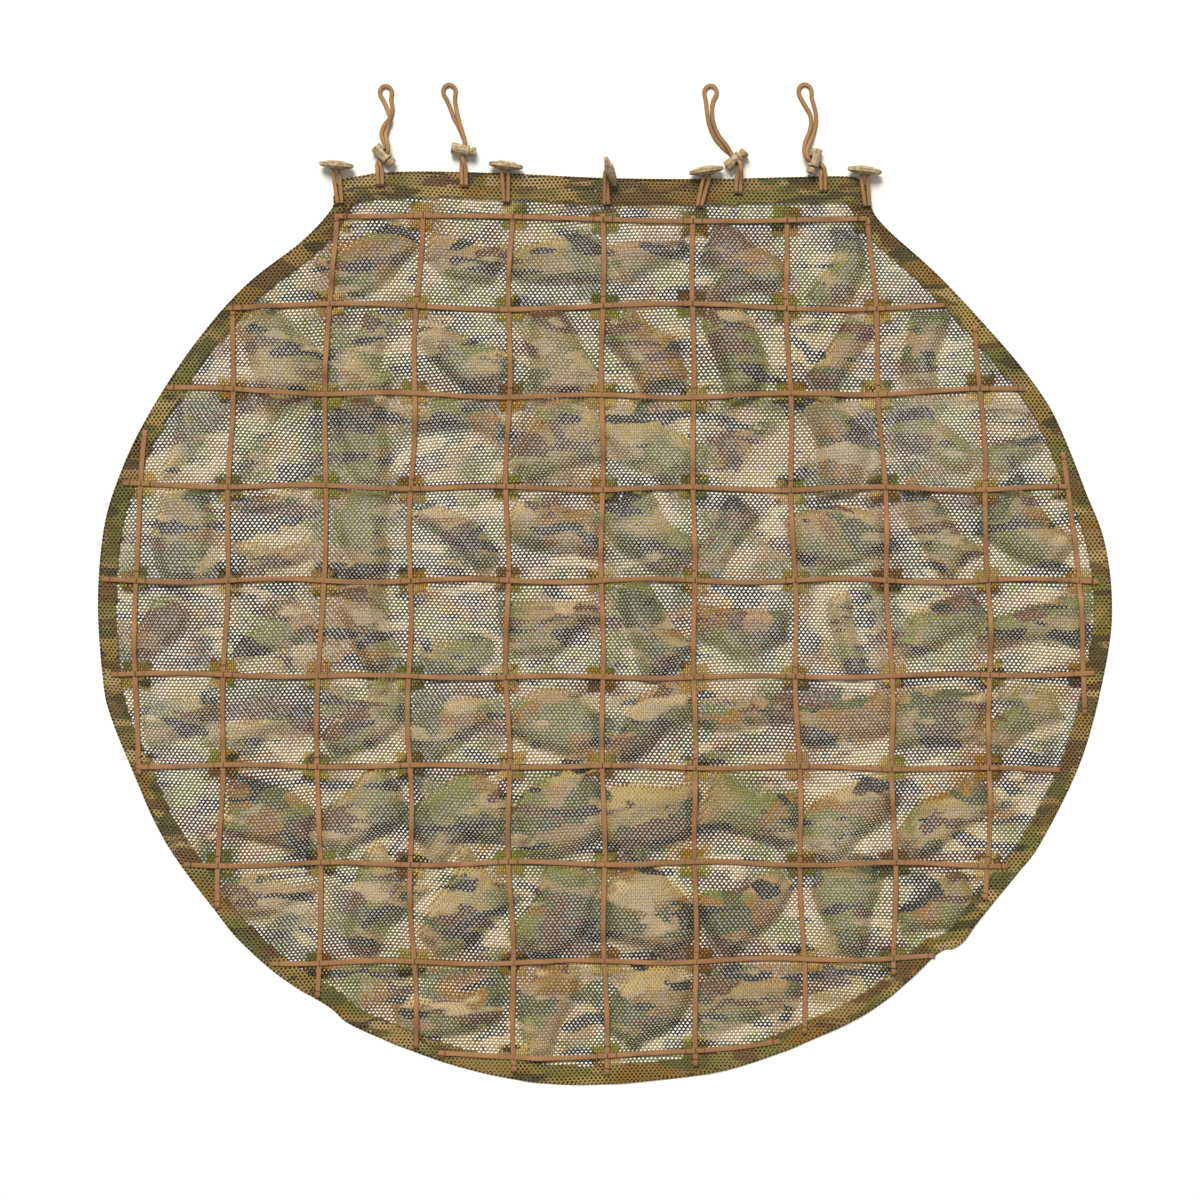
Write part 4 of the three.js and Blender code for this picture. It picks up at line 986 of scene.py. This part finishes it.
hem = knitted_piece("hem_layer", knit(on_hem, HEM_OPEN, hem_lift, (1.3, 1.1), 6), hem_cloth)
top_layer = knitted_piece("top_hem_layer", knit(on_top_hem, TOP_OPEN, 0.7, (1.1, 0.9), 10), hem_cloth)
band = knitted_piece("top_seam_band", knit(on_band, BAND_OPEN, 1.5, (0.4, 0.7), 8), band_cloth)


def gap_to_patches(x, y):
    """Below 1 on the patches of mesh behind the crossings, which take the stitches."""
    dice = np.random.default_rng(9)
    gap = np.full(x.shape, 9.0)
    for knot in places:
        wide, long = dice.uniform(13, 16.5), dice.uniform(11.5, 15)
        off_x, off_y, turn = dice.uniform(-2, 2), dice.uniform(-2, 2), math.radians(dice.uniform(-7, 7))
        dx, dy = x - knot.x - off_x, y - knot.y - off_y
        across, along = dx * math.cos(turn) + dy * math.sin(turn), dy * math.cos(turn) - dx * math.sin(turn)
        gap = np.minimum(gap, np.maximum(np.abs(across) / wide, np.abs(along) / long))
    return gap


patch_gap = gap_to_patches(ground_x, ground_y)


def on_patch(a, b):
    return (sampled(edge_gap, a, b) > 4) & (sampled(patch_gap, a, b) < 1)


patches = knitted_piece("crossing_patches", knit(on_patch, PATCH_OPEN, -0.45, (2.1, 0.1), 7), patch_cloth)


def rolled_edge():
    """The fold of the hem itself, along the whole edge: a thin roll that bulges from stitch to stitch."""
    line = inward(closed_line(EDGE, 52), 1.0)
    line = np.vstack([line, line[:2]])
    line = np.column_stack([line, sampled(height, line[:, 0], line[:, 1]) + YARN_LIFT])
    turn = np.arange(6) * math.pi / 3
    bulge = 1 + 0.16 * np.sin(distance_along(line) * 2 * math.pi / PITCH)[:, None]
    section = np.stack([1.0 * np.cos(turn) * bulge, 0.75 * np.sin(turn) * bulge], -1)
    across = np.cross(np.gradient(line, axis=0), (0, 0, 1.0))
    points, polygons, along, _ = flat_strip(line, across, section)
    along = along / MM / (PITCH, ROW)
    return mesh_piece("hem_fold", points, polygons, hem_cloth, flat_map=seen_from_above(points),
                      weave=along, opening=along * 0 + HEM_OPEN)


hem_fold = rolled_edge()

# ---------------- the tapes

# Half a tape's section, from its middle to its rolled edge: across and up.
TAPE_HALF = [(0, 0.84), (1.1, 0.68), (2.2, 0.85), (2.6, 0.5), (2.6, 0.1)]
TAPE_SECTION = np.array([*((-across, up) for across, up in TAPE_HALF[:0:-1]), *TAPE_HALF, (0, 0.0)])


def tape_strip(tape, upright, others, seed):
    """One tape: a flat woven strip that lies on the sheet, and rises over the tapes that it crosses."""
    run = np.linspace(tape.start, tape.end, round((tape.end - tape.start) / 4))
    off = tape_line(tape, run)
    x, y = (off, run) if upright else (run, off)
    under = [sampled(height, x + dx, y + dy) for dx in (-2.5, 0, 2.5) for dy in (-2.5, 0, 2.5)]
    top = np.maximum.reduce(under) + HEM_RISE * smooth_step(-sampled(hem_gap, x, y), -3, 2)
    for other in others:
        top += 0.85 * (1 - smooth_step(np.abs(run - other), 2.6, 7))
    line = np.stack([x, y, top + 0.25 + 0.25 * np.abs(waves(run, run * 0, 60, seed))], -1)
    line[1:-1, 2] = (line[:-2, 2] + 2 * line[1:-1, 2] + line[2:, 2]) / 4
    sides = np.cross(np.gradient(line, axis=0), (0, 0, 1.0))
    sides /= np.linalg.norm(sides, axis=1, keepdims=True)
    to_sewn = np.min([np.abs(run - sewn_at) for sewn_at in [*others, tape.start, tape.end]], axis=0)
    sides[:, 2] += 0.16 * waves(run, run * 0, 45, seed + 50) * smooth_step(to_sewn, 4, 20)
    wide = 1 + 0.05 * waves(run, run * 0, 38, seed + 90)
    section = TAPE_SECTION[None] * np.stack([wide, np.ones_like(wide)], -1)[:, None]
    return flat_strip(line, sides, section)


def all_tapes(name, tapes, upright, seed):
    """All tapes of one direction as one piece."""
    points, quads, caps, along, spots, done = [], [], [], [], [], 0
    for i, tape in enumerate(tapes):
        others = [] if upright else [knot.x for knot in places if knot.crossway == i]
        strip, polygons, strip_along, spot = tape_strip(tape, upright, others, seed + i)
        points.append(strip)
        quads.append(polygons[0] + done)
        caps += [cap + done for cap in polygons[1:]]
        along.append(strip_along)
        spots.append(np.stack([spot[:, 0] / 1020, (i + 0.03 + 0.94 * spot[:, 1]) / len(tapes)], -1))
        done += len(strip)
    return mesh_piece(name, np.concatenate(points), [np.concatenate(quads), np.concatenate(caps)], tape_weave,
                      flat_map=np.concatenate(spots), weave=np.concatenate(along))


upright_tapes = all_tapes("upright_tapes", UPRIGHTS, True, 100)
crossing_tapes = all_tapes("crossways_tapes", CROSSWAYS, False, 140)

# ---------------- stitches


def one_stitch(long, wide, high):
    """A single stitch of thread, made once and copied: its points and faces."""
    bpy.ops.object.select_all(action="DESELECT")
    bpy.ops.mesh.primitive_cylinder_add(vertices=5, radius=0.5, depth=1, rotation=(0, math.pi / 2, 0))
    made = bpy.context.object
    bpy.ops.object.transform_apply(location=False, rotation=True, scale=False)
    bpy.ops.object.mode_set(mode="EDIT")
    bpy.ops.mesh.select_all(action="SELECT")
    bpy.ops.transform.resize(value=(long * 0.6, wide, high))
    bpy.ops.mesh.select_all(action="DESELECT")
    bpy.ops.object.mode_set(mode="OBJECT")
    for face in made.data.polygons:
        face.select = abs(face.normal.x) > 0.9
    bpy.ops.object.mode_set(mode="EDIT")
    bpy.ops.mesh.select_mode(type="FACE")
    bpy.ops.mesh.extrude_region_shrink_fatten(TRANSFORM_OT_shrink_fatten={"value": long * 0.2})
    bpy.ops.transform.resize(value=(1, 0.4, 0.4), center_override=(0, 0, 0))
    bpy.ops.object.mode_set(mode="OBJECT")
    points = np.array([v.co for v in made.data.vertices])
    polygons = {}
    for face in made.data.polygons:
        polygons.setdefault(len(face.vertices), []).append(list(face.vertices))
    bpy.data.objects.remove(made)
    return points, [np.array(group) for group in polygons.values()]


def sewn(name, stitches, shape, finish):
    """Copies of one stitch at (x, y, z, turn) places, as one piece."""
    base, groups = shape
    stitches = np.array(stitches, float)
    turn = np.radians(stitches[:, 3])
    c, s = np.cos(turn)[:, None], np.sin(turn)[:, None]
    x = stitches[:, :1] + base[None, :, 0] * c - base[None, :, 1] * s
    y = stitches[:, 1:2] + base[None, :, 0] * s + base[None, :, 1] * c
    z = stitches[:, 2:3] + base[None, :, 2]
    points = np.stack([x, y, z], -1).reshape(-1, 3)
    step = (np.arange(len(stitches)) * len(base))[:, None, None]
    faces = [(group[None] + step).reshape(-1, group.shape[1]) for group in groups]
    return mesh_piece(name, points, faces, finish, flat_map=seen_from_above(points))


TAPE_TOP, FOOT_TOP = 1.15, 1.05      # of a tape over the yarn, and of a cord's sewn foot
tack = one_stitch(1.7, 0.6, 0.5)
tacks = []


def bar_tack(x, y, z, turn, wide=4.9, count=7):
    """A bar of tight stitches: turn is the way its bar runs, and each stitch lies across it."""
    c, s = math.cos(math.radians(turn)), math.sin(math.radians(turn))
    for k in range(count):
        off = (k / (count - 1) - 0.5) * wide
        lean = 12 if k % 2 else -12
        tacks.append((x + off * c, y + off * s, z, turn + 90 + lean))


def tape_top(x, y, over):
    return float(sampled(height, x, y)) + TAPE_TOP + over


def hem_rise(x, y):
    """How much higher things lie here, if this is on the hem."""
    return HEM_RISE if sampled(hem_gap, x, y) < 0 else 0


for x, y, i, j in places:
    upright, crossway = UPRIGHTS[i], CROSSWAYS[j]
    lean = math.degrees(math.atan(float(tape_line(crossway, x + 1) - tape_line(crossway, x - 1)) / 2))
    rise = hem_rise(x, y)
    for off, over in ((-9.5, 0.0), (0.4, 0.75), (9.5, 0.0)):
        at = x + off
        if crossway.start + 1.5 < at < crossway.end - 1.5:
            bar_tack(at, float(tape_line(crossway, at)), tape_top(at, y, over + rise), lean + 90)
    at = y + 9.5
    if (i + j) % 2 and at < upright.end - 2:
        bar_tack(float(tape_line(upright, at)), at, tape_top(x, at, rise), 0)
for tapes, turn in ((UPRIGHTS, 0), (CROSSWAYS, 90)):
    for tape in tapes:
        for at in (tape.start + 7, tape.end - 7):
            off = float(tape_line(tape, at))
            x, y = (at, off) if turn else (off, at)
            bar_tack(x, y, tape_top(x, y, hem_rise(x, y)), turn)
for toggle in TOGGLES:
    for off in (0.8, 3.4):
        bar_tack(toggle.foot_x, toggle.foot_y + off, FOOT_HEIGHT + FOOT_TOP, 0, 8.8, 11)
for draw in DRAWS:
    foot = draw.lead[0]
    bar_tack(foot[0], foot[1] + 1.4, FOOT_HEIGHT + FOOT_TOP, 0, 8.6, 11)
bar_tacks = sewn("bar_tacks", tacks, tack, thread)


def row_of_stitches(line, pitch, lift):
    """Stitches end to end along a line on the hem."""
    gone = distance_along(line)
    at = np.arange(pitch, gone[-1], pitch)
    x, y = np.interp(at, gone, line[:, 0]), np.interp(at, gone, line[:, 1])
    turn = np.degrees(np.arctan2(np.gradient(y), np.gradient(x)))
    return np.stack([x, y, sampled(height, x, y) + lift, turn], -1)


round_hem = hem_inside(edge_line, TOP_HEM_WIDE - 1.5, HEM_WIDE - 2.0)
round_hem = np.vstack([round_hem, round_hem[:1]])
top_at = np.linspace(-262, 258, 60)
top_row = np.stack([top_at, below_top(top_at, 0) - 14], -1)
hem_rows = np.vstack([row_of_stitches(round_hem, 3.4, 0.95), row_of_stitches(top_row, 3.4, 1.25)])
hem_stitches = sewn("hem_stitches", hem_rows, one_stitch(2.7, 0.55, 0.45), thread)

# ---------------- toggles and cord locks


def pick(made):
    """Makes a piece the only one selected, and the active one."""
    bpy.ops.object.select_all(action="DESELECT")
    made.select_set(True)
    bpy.context.view_layer.objects.active = made


def edit(made, chooser, *steps):
    """Selects the faces of a piece that chooser(face) picks, and runs the steps on them in edit mode."""
    pick(made)
    bpy.ops.object.mode_set(mode="EDIT")
    bpy.ops.mesh.select_mode(type="FACE")
    bpy.ops.mesh.select_all(action="DESELECT")
    bpy.ops.object.mode_set(mode="OBJECT")
    for face in made.data.polygons:
        face.select = bool(chooser(face))
    bpy.ops.object.mode_set(mode="EDIT")
    for step in steps:
        step()
    bpy.ops.object.mode_set(mode="OBJECT")


def finished(made, kind, **settings):
    """Gives a piece one modifier and applies it."""
    pick(made)
    modifier = made.modifiers.new(kind.lower(), kind)
    for name, value in settings.items():
        setattr(modifier, name, value)
    bpy.ops.object.modifier_apply(modifier=modifier.name)


def cut(made, cutter):
    finished(made, "BOOLEAN", object=cutter, operation="DIFFERENCE", solver="EXACT")
    bpy.data.objects.remove(cutter)


def softened(made, width, angle):
    """Small rounds on the edges that are sharper than this angle."""
    settings = {"limit_method": "ANGLE", "angle_limit": math.radians(angle)}
    finished(made, "BEVEL", width=width * MM, segments=2, **settings)


def round_bar(vertices, radius, depth, middle, axis):
    """A cylinder along X or Y, in metres of its own frame."""
    turn = {"X": (0, math.pi / 2, 0), "Y": (math.pi / 2, 0, 0)}[axis]
    bpy.ops.object.select_all(action="DESELECT")
    bpy.ops.mesh.primitive_cylinder_add(
        vertices=vertices, radius=radius * MM, depth=depth * MM, location=Vector(middle) * MM, rotation=turn
    )
    made = bpy.context.object
    bpy.ops.object.transform_apply(location=True, rotation=True, scale=True)
    return made


def block(size, middle, bevel):
    """A box with rounded edges, in metres of its own frame."""
    bpy.ops.object.select_all(action="DESELECT")
    bpy.ops.mesh.primitive_cube_add(size=1, location=Vector(middle) * MM)
    made = bpy.context.object
    made.scale = Vector(size) * MM
    bpy.ops.object.transform_apply(location=True, rotation=True, scale=True)
    finished(made, "BEVEL", width=bevel * MM, segments=3, limit_method="NONE")
    return made


def inset(thickness, depth=0.0, each=False):
    return lambda: bpy.ops.mesh.inset(thickness=thickness * MM, depth=depth * MM, use_individual=each)


def end_at(x, way):
    """Picks the flat faces that look this way along the piece's X axis, at this place."""
    return lambda face: face.normal.x * way > 0.99 and abs(face.center.x - x * MM) < 0.1 * MM


def pull(x=0.0, y=0.0):
    return lambda: bpy.ops.mesh.extrude_region_move(TRANSFORM_OT_translate={"value": (x * MM, y * MM, 0)})


def widen(share):
    """Scales a selection about the piece's own X axis."""
    return lambda: bpy.ops.transform.resize(value=(1, share, share), center_override=(0, 0, 0))


def push(x=0.0, y=0.0):
    return lambda: bpy.ops.transform.translate(value=(x * MM, y * MM, 0))


def face_at(y, side):
    """Picks the flat faces on one side of a disc, at this distance from its middle."""
    return lambda face: face.normal.y * side > 0.9 and abs(face.center.y * side - y * MM) < 0.3 * MM


def oval_toggle():
    """The toggle in its own axes: X along it, Y through it, Z across it. It is made as a round disc and
    then squeezed to its oval."""
    made = round_bar(72, TOGGLE_LONG / 2, 3.0, (0, 0, 0), "Y")
    for side in (1, -1):
        at = 1.5
        for thick, rise in ((2.2, 0.9), (5.5, 1.0), (1.2, 0.8)):
            edit(made, face_at(at, side), inset(thick), push(0, side * rise))
            at += rise
    number = lambda face: round(math.degrees(math.atan2(face.center.z, face.center.x)) / 5 - 0.5)
    edit(made, lambda face: abs(face.normal.y) < 0.1 and number(face) % 2 == 0, inset(0.2, -0.95, True))
    slot_tall = SLOT_TALL * TOGGLE_LONG / TOGGLE_TALL
    for side in (1, -1):
        cut(made, block((SLOT_WIDE, 20, slot_tall), (side * SLOT_AT, 0, 0), 0.7))
    cut(made, block((2 * SLOT_AT + SLOT_WIDE, 6, slot_tall), (0, 3.9, 0), 0.7))
    for side in (1, -1):
        cut(made, round_bar(12, 0.8, 20, (side * 13.4, 0, 0), "Y"))
    squeeze = {"value": (1, 1, TOGGLE_TALL / TOGGLE_LONG), "center_override": (0, 0, 0)}
    edit(made, lambda face: True, lambda: bpy.ops.transform.resize(**squeeze))
    softened(made, 0.22, 38)
    return made


def cord_hole(made, at):
    """Cuts the hole that the draw cord goes through."""
    cut(made, block((HOLE["long"], 30, HOLE["wide"]), (at, 0, 0), 1.4))


def lock_barrel():
    """The barrel in its own axes: X along it, with the open end on the + side."""
    b = BARREL
    flange_at = b["open"] - b["flange_long"]
    long = flange_at - b["closed"]
    made = round_bar(36, b["radius"], long, (b["closed"] + long / 2, 0, 0), "X")
    edit(made, end_at(b["closed"], -1), inset(1.0), push(-0.35), inset(2.6), inset(0.2, -0.5))
    edit(
        made, end_at(flange_at, 1), pull(), widen(b["flange"] / b["radius"]), pull(b["flange_long"]),
        inset(b["flange"] - b["bore"]), pull(b["bore_end"] - b["open"]),
    )

    def grooved(face):
        """Picks two facets in six of the barrel's long outer faces."""
        number = round(math.degrees(math.atan2(face.center.z, face.center.y)) / 10 - 0.5)
        outer = math.hypot(face.center.y, face.center.z) > 5 * MM
        return outer and abs(face.normal.x) < 0.1 and face.area > 8e-6 and number % 6 in (0, 1)

    edit(made, grooved, inset(0.35, 0.0), inset(0.15, -0.7))
    cord_hole(made, HOLE["in_barrel"])
    softened(made, 0.3, 35)
    return made


def lock_plunger():
    """The plunger in its own axes, with its ringed head on the + side."""
    p = PLUNGER
    middle = (p["head_from"] + p["inner"]) / 2
    made = round_bar(32, p["shaft"], p["head_from"] - p["inner"], (middle, 0, 0), "X")
    head, neck = p["head"] / p["shaft"], 0.88
    steps = []
    for share, long in ((head, 1.1), (neck, 0.5), (1 / neck, 0.9), (neck, 0.5), (1 / neck, 1.3)):
        steps += [pull(), widen(share), pull(long)]
    edit(made, end_at(p["head_from"], 1), *steps, inset(0.9), push(0.25))
    cord_hole(made, HOLE["in_plunger"])
    softened(made, 0.25, 35)
    return made


def placed_copy(model, name, matrix):
    """A copy of a model with its own mesh, laid in its place."""
    made = model.copy()
    made.data = model.data.copy()
    made.name = made.data.name = name
    in_metres = matrix.copy()
    in_metres.translation *= MM
    made.data.transform(in_metres)
    made.data.materials.clear()
    made.data.materials.append(plastic)
    bpy.context.collection.objects.link(made)
    pick(made)
    bpy.ops.object.shade_smooth_by_angle(angle=math.radians(34))
    return made


toggle_model, barrel_model, plunger_model = oval_toggle(), lock_barrel(), lock_plunger()
toggles, barrels, plungers = [], [], []
for number, toggle in enumerate(TOGGLES, 1):
    toggles.append(placed_copy(toggle_model, f"oval_toggle_{number}", toggle_matrix(toggle)))
    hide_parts(f"toggle_{number}")
for draw in DRAWS:
    barrels.append(placed_copy(barrel_model, f"lock_body_{draw.name}", lock_matrix(draw)))
    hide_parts(f"lock_barrel_{draw.name}")
    plungers.append(placed_copy(plunger_model, f"lock_button_{draw.name}", lock_matrix(draw)))
    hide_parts(f"lock_plunger_{draw.name}")
for model in (toggle_model, barrel_model, plunger_model):
    bpy.data.objects.remove(model)

# ---------------- what rides on what

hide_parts("mesh_sheet")
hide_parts(*[f"tape_upright_{i}" for i in range(1, len(UPRIGHTS) + 1)])
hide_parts(*[f"tape_crossways_{i}" for i in range(1, len(CROSSWAYS) + 1)])

mesh_quarters = [piece for piece, *_ in sheet_pieces]
cords = [piece for piece, *_ in toggle_loops + draw_cords]
second_mesh = [hem, top_layer, band, hem_fold, patches]
sewn_on = [*second_mesh, upright_tapes, crossing_tapes, bar_tacks, hem_stitches]
for piece in (*mesh_quarters, *cords, *sewn_on, *toggles, *barrels):
    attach(piece, "drape")
for draw, plunger in zip(DRAWS, plungers):
    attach(plunger, f"plunger_{draw.name}")

slots = {
    "mesh": mesh_quarters + second_mesh,
    "tape": [upright_tapes, crossing_tapes],
    "cord": cords,
    "plastic": toggles + barrels + plungers,
}

on_cords = [[toggle] for toggle in toggles] + [list(lock) for lock in zip(barrels, plungers)]
for (piece, line, long), carried in zip(toggle_loops + draw_cords, on_cords):
    line[0] * MM
    long * MM
    line * MM
for index, (piece, size, area) in enumerate(sheet_pieces):
    sewn_on if index == 0 else []
